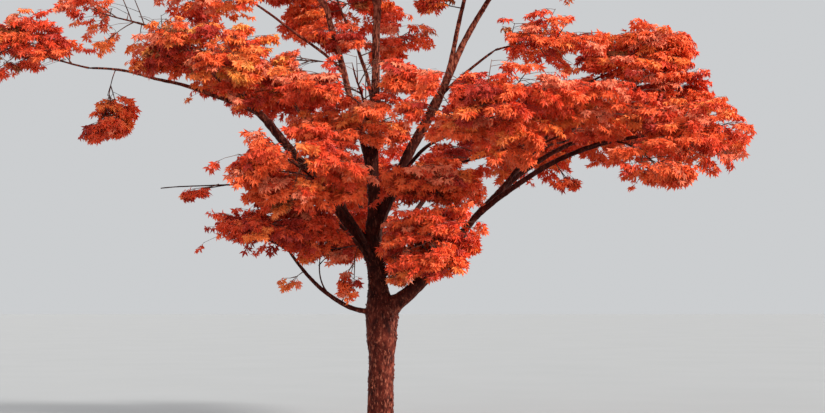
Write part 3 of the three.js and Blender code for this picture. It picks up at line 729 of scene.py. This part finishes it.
def limb_rod(parent, at, line, base, tip, rings, collar=False, drawn_in=False):
    """A limb's line, led in from its parent's, and its radius along it. One that others continue is
    drawn in at its end."""
    own = respaced(line, LINE_SPACING)
    parent_radius = radius_on(parent, at)
    lead_from = max(0.0, at - (LEAD_IN * parent_radius + base) / line_length(LINES[parent]))
    lead = points_on(LINES[parent], np.linspace(lead_from, at, LEAD_POINTS)[:-1])
    joined = respaced(np.concatenate((lead, own)), LINE_SPACING)
    lead_share = 1 - line_length(own) / line_length(joined)
    path = sway(eased(joined, SMOOTHINGS))
    share = np.linspace(0, 1, len(path))
    grown = np.clip((share - lead_share) / (1 - lead_share), 0, 1)
    radii = base + (tip - base) * grown
    if collar:
        reach = line_length(own) / (COLLAR_REACH * base * 2)
        radii = radii + COLLAR_WIDTH * base * 2 * np.exp(-grown * reach)
    radii = np.minimum(radii, np.where(grown > 0, np.inf, parent_radius * LEAD_SHARE))
    if drawn_in:
        left = (1 - share) * line_length(path)
        radii = radii * (END_SHARE + (1 - END_SHARE) * smoothstep(0, END_STRETCH, left))
    fine = respaced(path, rings)
    return Rod(fine, np.interp(np.linspace(0, 1, len(fine)), share, radii), False)


def grow_wood():
    """The trunk, then the limbs and thin boughs, then each mass's stem."""
    z = np.linspace(0, TRUNK_HEIGHT, int(TRUNK_HEIGHT * MM / TRUNK_RINGS))
    rods = [Rod(trunk_line(z), trunk_radius(z), True)]
    for limb in LIMBS + SPURS:
        at = limb.at / TRUNK_HEIGHT if limb.parent == "trunk" else limb.at
        rods.append(limb_rod(limb.parent, at, LINES[limb.name], limb.base / 2 * MM, limb.tip / 2 * MM,
                             BOUGH_RINGS, at <= CONTINUES_FROM, limb in LIMBS))
    for mass, space in zip(MASSES, SPACES):
        radius = radius_on(mass.on, mass.at) * STEM_TAPER * (SIDE_STEM if mass.at < CONTINUES_FROM else 1)
        line = np.linspace(space.entry, space.stem_end, STEM_POINTS)
        rods.append(limb_rod(mass.on, mass.at, line, radius, radius * STEM_TIP_SHARE, STEM_RINGS))
    return rods


def rounded_end(rod):
    """The rod with a small round tip added to its end."""
    forward = unit(rod.line[-1] - rod.line[-2])
    tip = rod.line[-1] + forward * (rod.radii[-1] * TIP_LENGTH) * TIP_PLACES[:, None]
    return rod._replace(line=np.concatenate((rod.line, tip)),
                        radii=np.concatenate((rod.radii, rod.radii[-1] * TIP_RADII)))


def bark_relief(places, radii, seed):
    """How far the bark stands out at places measured round and along a limb."""
    def wave(spot, scale, stretch):
        return noise.noise(Vector((spot.x, spot.y, spot.z * stretch)) * scale)

    shift = Vector([seed * step for step in RELIEF_PLACES])
    foot, rise = PLATE_EDGE
    out = np.empty(len(places))
    for i, (place, radius) in enumerate(zip(places, radii)):
        spot = Vector(place) + shift
        edge = min(max((wave(spot, *BARK_PLATES) - foot) / rise, 0.0), 1.0)
        fine = (edge - 1) * PLATE_HEIGHT + wave(spot, *BARK_GRAIN) * GRAIN_HEIGHT
        limit = radius * RELIEF_SHARE
        out[i] = max(-limit, min(limit, fine)) + wave(spot, *BARK_SWELL) * radius * SWELL_SHARE
    return out


def rod_bark(rod, seed):
    """The bark of a rod, and its faces."""
    sides = int(np.clip(round(2 * np.pi * rod.radii.max() / SIDE_SPACING), LEAST_SIDES, MOST_SIDES))
    vertices, outward, polygons = tubes(rod.line[None], rod.radii[None], sides, rod.level)
    vertices, outward = vertices.reshape(-1, 3), outward.reshape(-1, 3)
    radii = np.repeat(rod.radii, sides)
    angles = np.tile(ring_angles(sides), len(rod.line))
    lengths = np.repeat(way_along(rod.line), sides)
    places = np.stack((np.cos(angles) * radii, np.sin(angles) * radii, lengths), axis=1)
    relief = bark_relief(places, radii, seed)
    if rod.level:
        fade = np.exp(-vertices[:, 2] / (ROOT_FLARE_HEIGHT * ROOT_RIB_REACH * MM))
        relief += radii * ROOT_RIB_DEPTH * fade * np.cos(ROOT_RIBS * angles - ROOT_RIB_TURN)
    lengthways = np.repeat(unit(np.gradient(rod.line, axis=0)), sides, axis=0)
    return Bark(vertices, outward, lengthways, radii, relief), polygons


def fillets(vertices, radii, owner, rods):
    """How far each vertex moves out where another limb is near, so that a fork has a web."""
    spots, widths, whose = (np.concatenate(arrays) for arrays in zip(*(
        (rod.line[::FILLET_STEP], rod.radii[::FILLET_STEP], np.full(len(rod.radii[::FILLET_STEP]), i))
        for i, rod in enumerate(rods))))

    def measure(vertices, radii, owner):
        away = length_of(vertices[:, None] - spots) - widths
        away[owner[:, None] == whose] = np.inf
        nearest = away.argmin(axis=1)
        gap = away[np.arange(len(nearest)), nearest]
        reach = FILLET * np.minimum(widths[nearest], radii)
        return reach * FILLET_HEIGHT * np.clip(1 - np.abs(gap) / reach, 0, 1) ** 2

    return in_batches(measure, vertices, radii, owner)


def build_wood(rods, material):
    """The trunk, the boughs and the stems as a piece each. Gives the bark of them all."""
    barks, faces_of = zip(*(rod_bark(rounded_end(rod), i) for i, rod in enumerate(rods)))
    bark = Bark(*(np.concatenate(arrays) for arrays in zip(*barks)))
    counts = [len(part.vertices) for part in barks]
    owner = np.repeat(np.arange(len(rods)), counts)
    out = bark.relief + fillets(bark.vertices, bark.radii, owner, rods)
    vertices = bark.vertices + bark.outward * out[:, None]
    parts = list(zip(np.split(vertices, np.cumsum(counts)[:-1]), faces_of))
    make_piece("trunk_bark", parts[:1], material, "bark", ["trunk"])
    make_piece("bough_bark", parts[1:-len(MASSES)], material, "bark", LIMB_NAMES)
    make_piece("stem_bark", parts[-len(MASSES):], material, "bark", MASS_NAMES)
    return bark._replace(vertices=vertices)


def build_curls(bark, material):
    """Thin curls of bark that stand off the trunk and limbs, each held along one edge."""
    patches = smoothstep(*PATCH_LEVELS, noise_at(bark.vertices, *CURL_PATCHES))
    weight = np.where(bark.radii > CURL_LEAST_RADIUS, bark.radii, 0) * patches
    chosen = rng.choice(len(bark.vertices), CURLS, replace=False, p=weight / weight.sum())
    base, out, up = bark.vertices[chosen], bark.outward[chosen], bark.lengthways[chosen]
    aside = np.cross(up, out) * rng.choice((-1, 1), CURLS)[:, None]
    full_radius, least = CURL_THINNING
    size = np.clip(bark.radii[chosen] / full_radius, least, 1)[:, None]
    width, height, lift, roll, narrowing = (
        rng.uniform(*span, (CURLS, 1))
        for span in (CURL_WIDTH, CURL_HEIGHT, CURL_LIFT, CURL_ROLL, CURL_NARROWING))
    across = np.linspace(0, 1, CURL_COLUMNS)
    turn = lift + roll * across
    round_bark = width * size / roll * (np.sin(turn) - np.sin(lift))
    off_bark = width * size / roll * (np.cos(lift) - np.cos(turn)) + CURL_GAP
    rags = 1 + rng.uniform(-1, 1, (CURLS, CURL_COLUMNS, CURL_ROWS)) * CURL_RAGS * across[:, None]
    reach = (height * size * (1 - narrowing * across))[:, :, None] * rags
    reach = reach * np.linspace(-0.5, 0.5, CURL_ROWS)
    grid = (base[:, None, None] + aside[:, None, None] * round_bark[:, :, None, None]
            + out[:, None, None] * off_bark[:, :, None, None] + up[:, None, None] * reach[..., None])
    grid[..., 2] = np.maximum(grid[..., 2], LOWEST_CURL)
    index = np.arange(CURLS * CURL_COLUMNS * CURL_ROWS).reshape(CURLS, CURL_COLUMNS, CURL_ROWS)
    quads = np.stack((index[:, :-1, :-1], index[:, 1:, :-1], index[:, 1:, 1:], index[:, :-1, 1:]), axis=-1)
    make_piece("bark_curls", [(grid.reshape(-1, 3), [quads.reshape(-1, 4)])], material, "bark")


# Twigs

Twigs = namedtuple("Twigs", "lines owner parent share")


def grow_main_twigs(stems):
    """The main twigs of every mass, from its stem's own line, and those of every tuft."""
    lines, owner = [], []
    for index, (space, stem) in enumerate(zip(SPACES, stems)):
        found = main_twigs(index, SEED, TWIGS, TWIG_REACH)
        found += main_twigs(index, MORE_SEED, MORE_TWIGS, MORE_REACH, MORE_TURN)
        start_share, ahead = END_TWIG
        found.append((start_share, space.point(ahead, 0, 0)))
        for share, end in found:
            start = stem.line[length_of(stem.line - space.on_stem(share)).argmin()]
            rise = UP * np.linalg.norm(end - start) * TWIG_RISE
            lines.append(bowed_line(start, end, rise, TWIG_POINTS))
            owner.append(index)
    for index in range(len(MASSES), len(CLUSTERS)):
        space = SPACES[index]
        draws = source_draws(MORE_SEED + index)
        lines.append(bowed_line(space.entry, space.stem_end, count=TWIG_POINTS))
        for k in range(TUFT_TWIGS):
            low, high = TUFT_STARTS
            start = space.on_stem(low + (high - low) * (k + 0.5) / TUFT_TWIGS)
            ahead, falling = TUFT_AHEAD
            angle = k * GOLDEN_ANGLE + next(draws) * TWIG_JITTER
            end = space.point(ahead - falling * k / TUFT_TWIGS,
                              TUFT_ASIDE * math.cos(angle), TUFT_ASIDE * math.sin(angle))
            lines.append(bowed_line(start, end, count=TWIG_POINTS))
        owner += [index] * (TUFT_TWIGS + 1)
    nothing = np.zeros(len(lines), int)
    return Twigs(np.array(lines), np.array(owner), nothing, nothing)


def dealt(counts):
    """The parent of each thing, where each parent has that count of them, and its number there."""
    parent = np.repeat(np.arange(len(counts)), counts)
    return parent, np.arange(len(parent)) - np.repeat(np.cumsum(counts) - counts, counts)


def side_twigs(parents, rule):
    """Side twigs in opposite pairs along every parent, each shortened to fit its mass's space or
    left out."""
    stretch = rule.last - rule.first
    pairs = np.maximum(1, np.round(line_length(parents.lines) * stretch / rule.spacing).astype(int))
    parent, place = dealt(pairs * 2)
    owner = parents.owner[parent]
    count = len(parent)
    pair, side = place // 2, 1 - 2 * (place % 2)
    step = (pair + 0.5 + rng.uniform(-PAIR_STRAY, PAIR_STRAY, count)) / pairs[parent]
    share = rule.first + stretch * step
    base, forward = along(parents.lines[parent], share)
    across = level_across(forward)
    over = np.cross(across, forward)
    turn = np.where(pair % 2, ROLL_STRAY, -ROLL_STRAY)
    roll = (rule.roll * turn + rng.normal(0, ROLL_STRAY * rule.roll, count))[:, None]
    sideways = (across * np.cos(roll) + over * np.sin(roll)) * side[:, None]
    angle = (rule.angle * varied(SIDE_SPREAD, count))[:, None]
    direction = forward * np.cos(angle) + sideways * np.sin(angle)
    direction[:, 2] *= FLATTENING
    direction = unit(direction)
    length = rule.length * (1 - rule.falloff * share) * varied(SIDE_SPREAD, count)
    reach = np.zeros((count, 1))
    for shortening in SHORTENINGS:
        todo = np.flatnonzero(reach == 0)
        tried = (length[todo] * shortening)[:, None]
        tip = base[todo] + direction[todo] * tried - UP * rule.sag * tried
        fits = keeps_to_crown(tip, owner[todo], TWIG_EDGE) & inside_box(tip)
        reach[todo[fits]] = tried[fits]
    kept = reach[:, 0] > 0
    run = reach[kept, None]
    s = np.linspace(0, 1, rule.points)[:, None]
    lines = base[kept, None] + direction[kept, None] * run * s - UP * rule.sag * run * s ** 2
    return Twigs(lines, owner[kept], parent[kept], share[kept])


def picked(twigs, which):
    return Twigs(*(field[which] for field in twigs))


def cut_back(twigs, children, beyond):
    """The lines of the twigs that carry children, each ended a little beyond its last one."""
    last = np.full(len(twigs.lines), -1.0)
    np.maximum.at(last, children.parent, children.share)
    carrying = last >= 0
    lines = twigs.lines[carrying]
    reach = np.minimum(last[carrying] + beyond, 1)
    points = [along(lines, reach * share)[0] for share in np.linspace(0, 1, lines.shape[1])]
    return np.stack(points, axis=1)


def twig_mesh(lines, radii, sides):
    share = np.linspace(0, 1, lines.shape[1])
    widths = np.broadcast_to(radii[0] + (radii[1] - radii[0]) * share, lines.shape[:2])
    vertices, _, polygons = tubes(lines, widths, sides)
    return vertices.reshape(-1, 3), polygons[:2]


# Leaves

def leaf_template():
    """A leaf's vertices and faces. Its right leaflet is the mirror image of its left one."""
    x, y, z = np.array(SIDE_LEAFLET).T * SIDE_LEAFLET_SIZE
    cos, sin = math.cos(SIDE_LEAFLET_TURN), math.sin(SIDE_LEAFLET_TURN)
    left = np.stack((x * cos - y * sin + STALK, x * sin + y * cos, z), axis=1)
    faces = np.array(LEAFLET_FACES)
    vertices = np.concatenate((MIDDLE_LEAFLET, left, left * (1, -1, 1)))
    return vertices, np.concatenate((faces, faces + len(x), faces[:, ::-1] + len(x) * 2))


def place_leaves(shoots):
    """Where leaves sit along shoots in opposite pairs, with one at each tip: their roots and
    directions, their mass and their spray."""
    pairs = np.maximum(1, np.round(line_length(shoots.lines) / LEAF_SPACING).astype(int))
    count = pairs * 2 + 1
    shoot, place = dealt(count)
    at_tip = place == count[shoot] - 1
    side = np.where(at_tip, 0, 1 - 2 * (place % 2))[:, None]
    share = np.where(at_tip, 1, (place // 2 + FIRST_LEAVES) / (pairs[shoot] + SPARE_SHOOT))
    root, forward = along(shoots.lines[shoot], share)
    stray = rng.normal(0, LEAF_STRAY, (len(shoot), 3))
    direction = (forward * LEAF_FORWARD + level_across(forward) * side * LEAF_ASIDE
                 - UP * LEAF_DROOP + stray)
    return root, unit(direction), shoots.owner[shoot], shoots.parent[shoot]


def leaf_faces_towards(root, direction, owner):
    """The way each leaf's face looks: out of its mass and of the crown, and up."""
    normal = (unit(root - MIDDLES[owner]) * LEAF_FACING["mass"] + UP * LEAF_FACING["up"]
              + unit(root - CROWN_MIDDLE) * LEAF_FACING["crown"]
              + rng.normal(0, LEAF_FACING["stray"], root.shape))
    return unit(normal - direction * dot(direction, normal))


def fullness_at(points, owner):
    """How likely a shoot is at each point: by its mass, thin inside it, and in drooping tiers."""
    own, _ = own_and_next(points, owner)
    shell = INNER_SHARE + (1 - INNER_SHARE) * smoothstep(*SHELL, own)
    away = length_of((points - MIDDLES[owner])[:, :2])
    bent = points + UP * (TIER_DROOP * away ** 2)[:, None]
    filling = np.maximum(FULLNESS[owner] - 1, 0) * TIER_FILLING
    tiers = smoothstep(*TIER_LEVELS, noise_at(bent, TIER_SCALE, TIER_STRETCH) + filling)
    return np.minimum(FULLNESS[owner], 1) * shell * tiers


def hides_limb(points):
    """Whether each point is in front of a stretch of limb that is to show."""
    spots, radii = [], []
    for name, low, high in SHOWN:
        count = int(line_length(LINES[name]) * (high - low) / SHOWN_SPACING)
        shares = np.linspace(low, high, max(2, count))
        spots.append(points_on(LINES[name], shares) - VIEWPOINT)
        radii.append(radius_on(name, shares))
    spots, radii = np.concatenate(spots), np.concatenate(radii)
    depth = length_of(spots)

    def measure(sight):
        near = sight @ (spots / depth[:, None]).T
        aside = np.sqrt(np.maximum((sight ** 2).sum(axis=1)[:, None] - near ** 2, 0))
        return ((near < depth) & (aside < radii + VIEW_MARGIN)).any(axis=1)

    return in_batches(measure, points - VIEWPOINT)


def left_in_openings(points):
    """The share of shoots that stay at each point: fewer where it is seen in an opening."""
    sight = points - VIEWPOINT
    seen = VIEWPOINT + sight * (-VIEWPOINT[1] / sight[:, 1])[:, None]
    out = np.ones(len(points))
    for across, height, wide, tall, share in OPENINGS:
        inside = ((seen[:, 0] - across) / wide) ** 2 + ((seen[:, 2] - height) / tall) ** 2 < 1
        out[inside] = share
    return out


def spray_tints(points, owner):
    """The tint of each spray: by its mass's mix, alike where sprays are near each other, and with painted
    shade that makes it redder and darker inside a mass and lighter at its edge.
    """
    drift_and_painted_shade = noise_at(points, TINT_SCALE) * TINT_DRIFT
    # painted shade: sprays deep inside a mass lean to the darker tints, those at its edge to the lighter ones
    drift_and_painted_shade += (own_and_next(points, owner)[0] - TINT_EVEN) * TINT_PAINTED_SHADE
    level = np.clip(TINT_MIDDLE + drift_and_painted_shade + rng.normal(0, TINT_STRAY, len(points)), *TINT_LEVELS)
    kinds = np.array([cluster.tints for cluster in CLUSTERS])[owner]
    out = np.empty(len(points), TINT_ORDER.dtype)
    for kind in np.unique(kinds):
        ends = np.cumsum([getattr(TINTS[name], kind) for name in TINT_ORDER])
        mine = kinds == kind
        out[mine] = TINT_ORDER[np.searchsorted(ends / ends[-1], level[mine])]
    return out


def build_leaves(root, direction, owner, tint):
    """One piece or more of leaves for each tint."""
    template, faces = leaf_template()
    normal = leaf_faces_towards(root, direction, owner)
    size = LEAFLET_LENGTH * varied(LEAFLET_SPREAD, len(root))
    reach = root + direction * (size * (1 + STALK))[:, None]
    fits = keeps_to_crown(reach, owner, LEAF_EDGE) & inside_box(reach)
    curl = rng.uniform(*LEAF_CURL, len(root))
    for name, (colour, slot, *_) in TINTS.items():
        material = leaf_material(name, colour)
        mine = np.flatnonzero(fits & (tint == name))
        pieces = max(1, math.ceil(len(mine) * len(faces) / MOST_TRIANGLES))
        for number, chosen in enumerate(np.array_split(mine, pieces), 1):
            across = np.cross(normal[chosen], direction[chosen])
            basis = np.stack((direction[chosen], across, normal[chosen] * curl[chosen, None]), axis=1)
            local = np.einsum("vi,nij->nvj", template, basis) * size[chosen, None, None]
            vertices = (root[chosen, None] + local).reshape(-1, 3)
            polygons = (faces[None] + (np.arange(len(chosen)) * len(template))[:, None, None]).reshape(-1, 3)
            label = f"leaves_{name}" if pieces == 1 else f"leaves_{name}_{number}"
            replaced = [mass for i, mass in enumerate(MASS_NAMES) if i in owner[chosen]]
            make_piece(label, [(vertices, [polygons])], material, slot, replaced, smooth=False)


# Materials

BARK_DEEP = (0.02, 0.0032, 0.0024)
BARK_MIDDLE = (0.075, 0.0105, 0.006)
BARK_LIGHT = (0.19, 0.036, 0.02)
BARK_PEELED = (0.4, 0.11, 0.062)
BARK_PAINTED_SHADE = ((1.2, 0.0), (1.85, 0.7), (3.1, 0.7), (3.9, 0.1))  # painted shade of the crown on the upper trunk and boughs, by height
PAINTED_LIGHT_ON_STEMS = ((3.2, 0.0), (4.1, 0.085))  # painted light on the thin stems high in the crown: by height, how much more of the pale peeled colour they show
HIGHEST_BARK = 7.5
CURL_COLOURS = ((0.38, (0.06, 0.009, 0.006)), (0.54, (0.16, 0.03, 0.017)), (0.7, (0.36, 0.1, 0.056)))
TWIG_COLOURS = ((0.4, (0.05, 0.013, 0.008)), (0.62, (0.18, 0.065, 0.03)))
FLOOR_COLOURS = ((0.3, (0.34, 0.353, 0.366)), (0.7, (0.355, 0.368, 0.381)))
MIX_FIRST, MIX_SECOND, MIX_RESULT = 6, 7, 2  # a Mix node's sockets for colours


class Surface:
    """A material, and the shader nodes that it is given."""

    def __init__(self, name):
        self.material = bpy.data.materials.new(name)
        self.material.use_nodes = True
        self.tree = self.material.node_tree
        self.shader = self.tree.nodes["Principled BSDF"]

    def feed(self, node, inputs):
        """Join each input to another node's output, or set it to a value."""
        for name, value in inputs.items():
            if isinstance(value, bpy.types.NodeSocket):
                self.tree.links.new(value, node.inputs[name])
            else:
                node.inputs[name].default_value = value

    def add(self, kind, output, inputs):
        node = self.tree.nodes.new(f"ShaderNode{kind}")
        self.feed(node, inputs)
        return node.outputs[output]

    def place(self, stretch=1.0):
        """Where a point of the object is, its height scaled."""
        return self.add("Mapping", "Vector", {
            "Vector": self.add("TexCoord", "Object", {}), "Scale": (1, 1, stretch)})

    def noise(self, place, scale, detail, roughness=0.6):
        return self.add("TexNoise", "Fac", {
            "Vector": place, "Scale": scale, "Detail": detail, "Roughness": roughness})

    def ramp(self, source, *stops):
        """Each stop is a place and its colour, or one number for a grey."""
        node = self.tree.nodes.new("ShaderNodeValToRGB")
        elements = node.color_ramp.elements
        while len(elements) < len(stops):
            elements.new(0.5)
        for element, (place, colour) in zip(elements, stops):
            element.position = place
            element.color = (*np.broadcast_to(colour, 3), 1)
        self.feed(node, {"Fac": source})
        return node.outputs["Color"]

    def mix(self, factor, first, second):
        """The colour first, with that much of the colour second mixed into it."""
        node = self.tree.nodes.new("ShaderNodeMix")
        node.data_type = "RGBA"
        self.feed(node, {"Factor": factor, MIX_FIRST: first, MIX_SECOND: (*second, 1)})
        return node.outputs[MIX_RESULT]

    def bump(self, height, strength, distance):
        normal = self.add("Bump", "Normal", {"Height": height, "Strength": strength, "Distance": distance})
        self.feed(self.shader, {"Normal": normal})


def bark_material():
    """Deep maroon bark in plates down the limb, with pinkish places where it has peeled. Painted shade of
    the crown makes it darker, its peeled places fainter, on the upper trunk and the boughs inside the crown."""
    bark = Surface("paper_bark")
    place = bark.place(stretch=0.5)
    plates = bark.noise(place, scale=15, detail=5, roughness=0.7)
    colour = bark.ramp(plates, (0.36, BARK_DEEP), (0.52, BARK_MIDDLE), (0.68, BARK_LIGHT))
    height = bark.add("SeparateXYZ", "Z", {"Vector": bark.place(1 / HIGHEST_BARK)})
    # painted shade of the crown, and painted light on the high thin stems, each read by height
    painted_shade, painted_light = (
        bark.ramp(height, *((z / HIGHEST_BARK, value) for z, value in by_height))
        for by_height in (BARK_PAINTED_SHADE, PAINTED_LIGHT_ON_STEMS))
    peel = bark.noise(bark.place(stretch=0.36), scale=46, detail=3)
    # real peeling, plus painted light that gives the high thin stems more of the pale peeled colour
    peel_and_painted_light = bark.add("Math", "Value", {0: peel, 1: painted_light})
    colour = bark.mix(bark.ramp(peel_and_painted_light, (0.54, 0.0), (0.7, 0.85)), colour, BARK_PEELED)
    # the painted shade darkens the bark, peeled places and all, towards deep maroon inside the crown
    bark.feed(bark.shader, {
        "Base Color": bark.mix(painted_shade, colour, BARK_DEEP), "Specular IOR Level": 0.08,
        "Roughness": bark.ramp(peel, (0.3, 0.85), (0.75, 0.55))})
    bark.bump(bark.noise(place, scale=90, detail=4), strength=0.5, distance=0.004)
    return bark.material


def curl_material():
    """The papery curls: cinnamon outside and pinkish where they are thin."""
    paper = Surface("bark_curl_paper")
    place = paper.place()
    colour = paper.ramp(paper.noise(place, scale=14, detail=3), *CURL_COLOURS)
    paper.feed(paper.shader, {"Base Color": colour, "Roughness": 0.6, "Specular IOR Level": 0.1})
    paper.bump(paper.noise(place, scale=140, detail=3), strength=0.3, distance=0.002)
    return paper.material


def twig_material():
    """Young red-brown bark, paler and warmer than that of the boughs."""
    bark = Surface("twig_bark")
    colour = bark.ramp(bark.noise(bark.place(), scale=5, detail=3), *TWIG_COLOURS)
    bark.feed(bark.shader, {"Base Color": colour, "Roughness": 0.7})
    return bark.material


def leaf_material(name, colour):
    """A thin autumn leaf of one tint, with its veins as fine relief."""
    leaf = Surface(f"leaf_{name}")
    veins = leaf.noise(leaf.place(), scale=170, detail=2)
    leaf.feed(leaf.shader, {
        "Base Color": (*colour, 1), "Specular IOR Level": 0.35,
        "Roughness": leaf.ramp(veins, (0.3, 0.45), (0.7, 0.65))})
    leaf.bump(veins, strength=0.25, distance=0.002)
    return leaf.material


def floor_material():
    floor = Surface("pale_floor")
    colour = floor.ramp(floor.noise(floor.place(), scale=0.4, detail=2), *FLOOR_COLOURS)
    floor.feed(floor.shader, {"Base Color": colour, "Roughness": 0.9})
    return floor.material


# The tree

rods = grow_wood()
build_curls(build_wood(rods, bark_material()), curl_material())

main = grow_main_twigs(rods[-len(MASSES):])
branchlets = side_twigs(main, BRANCHLETS)
shoots = side_twigs(branchlets, SHOOTS)
likely = fullness_at(shoots.lines[:, -1], shoots.owner)
for end in (0, -1):
    likely *= np.where(hides_limb(shoots.lines[:, end]), VIEW_LEFT, 1)
    likely *= left_in_openings(shoots.lines[:, end])
shoots = picked(shoots, rng.random(len(shoots.lines)) < likely)
leafy = picked(branchlets, np.unique(shoots.parent))
twig_bark = twig_material()
main_lines = cut_back(main, leafy, STUBS[0])[:, ::TWIG_STEP]
branchlet_lines = cut_back(branchlets, shoots, STUBS[1])
make_piece("twigs", (twig_mesh(main_lines, TWIG_RADII, TWIG_SIDES),
                     twig_mesh(branchlet_lines, BRANCHLETS.radii, BRANCHLETS.sides)),
           twig_bark, "bark", MASS_NAMES)
make_piece("shoots", [twig_mesh(shoots.lines, SHOOTS.radii, SHOOTS.sides)], twig_bark, "bark", MASS_NAMES)

tint_of_spray = spray_tints(branchlets.lines[:, 0], branchlets.owner)
leaf_root, leaf_direction, leaf_owner, leaf_spray = place_leaves(shoots)
build_leaves(leaf_root, leaf_direction, leaf_owner, tint_of_spray[leaf_spray])


# Floor, light and camera

FLOOR_REACH = 150.0
SKY = (0.86, 0.88, 0.9, 1)
SKY_STRENGTH = 0.7
SENSOR_WIDTH = 36
FOCAL_LENGTH = 63.45
FARTHEST_SEEN = 500
CAMERA_CLIMB = 3.68  # degrees

# Soft, even lights: where each shines from, its strength, its angle across and its colour
LIGHTS = (
    ("key", (11, -7, 11), 3.9, 0.16, (1.0, 0.96, 0.9)),
    ("side", (13, 4, 5.2), 3.0, 0.25, (1.0, 0.84, 0.7)),
    ("fill", (-8, -14, 7), 0.8, 1.2, (0.95, 0.97, 1.0)),
    ("back", (-7, 12, 10), 0.8, 1.0, (1.0, 0.97, 0.93)),
)


def add_object(name, data):
    made = bpy.data.objects.new(name, data)
    bpy.context.scene.collection.objects.link(made)
    return made


def add_floor():
    mesh = bpy.data.meshes.new("floor")
    corners = [(x * FLOOR_REACH, y * FLOOR_REACH, 0) for x, y in ((-1, -1), (1, -1), (1, 1), (-1, 1))]
    mesh.from_pydata(corners, [], [(0, 1, 2, 3)])
    mesh.materials.append(floor_material())
    add_object("floor", mesh)


def add_light(name, place, energy, angle, colour):
    """A light that shines from the direction of place on the middle of the crown."""
    light = bpy.data.lights.new(name, "SUN")
    light.angle = angle
    light.energy = energy
    light.color = colour
    lamp = add_object(name, light)
    lamp.location = place
    lamp.rotation_euler = (Vector(CROWN_MIDDLE) - Vector(place)).to_track_quat("-Z", "Y").to_euler()


def add_camera():
    settings = bpy.data.cameras.new("camera")
    settings.sensor_width = SENSOR_WIDTH
    settings.lens = FOCAL_LENGTH
    settings.clip_end = FARTHEST_SEEN
    camera = add_object("camera", settings)
    camera.location = VIEWPOINT
    camera.rotation_euler = (math.radians(90 + CAMERA_CLIMB), 0, 0)
    bpy.context.scene.camera = camera


add_floor()
for light in LIGHTS:
    add_light(*light)
world = bpy.data.worlds.new("studio")
world.use_nodes = True
background = world.node_tree.nodes["Background"]
background.inputs["Color"].default_value = SKY
background.inputs["Strength"].default_value = SKY_STRENGTH
bpy.context.scene.world = world
bpy.context.scene.view_settings.view_transform = "Standard"
add_camera()
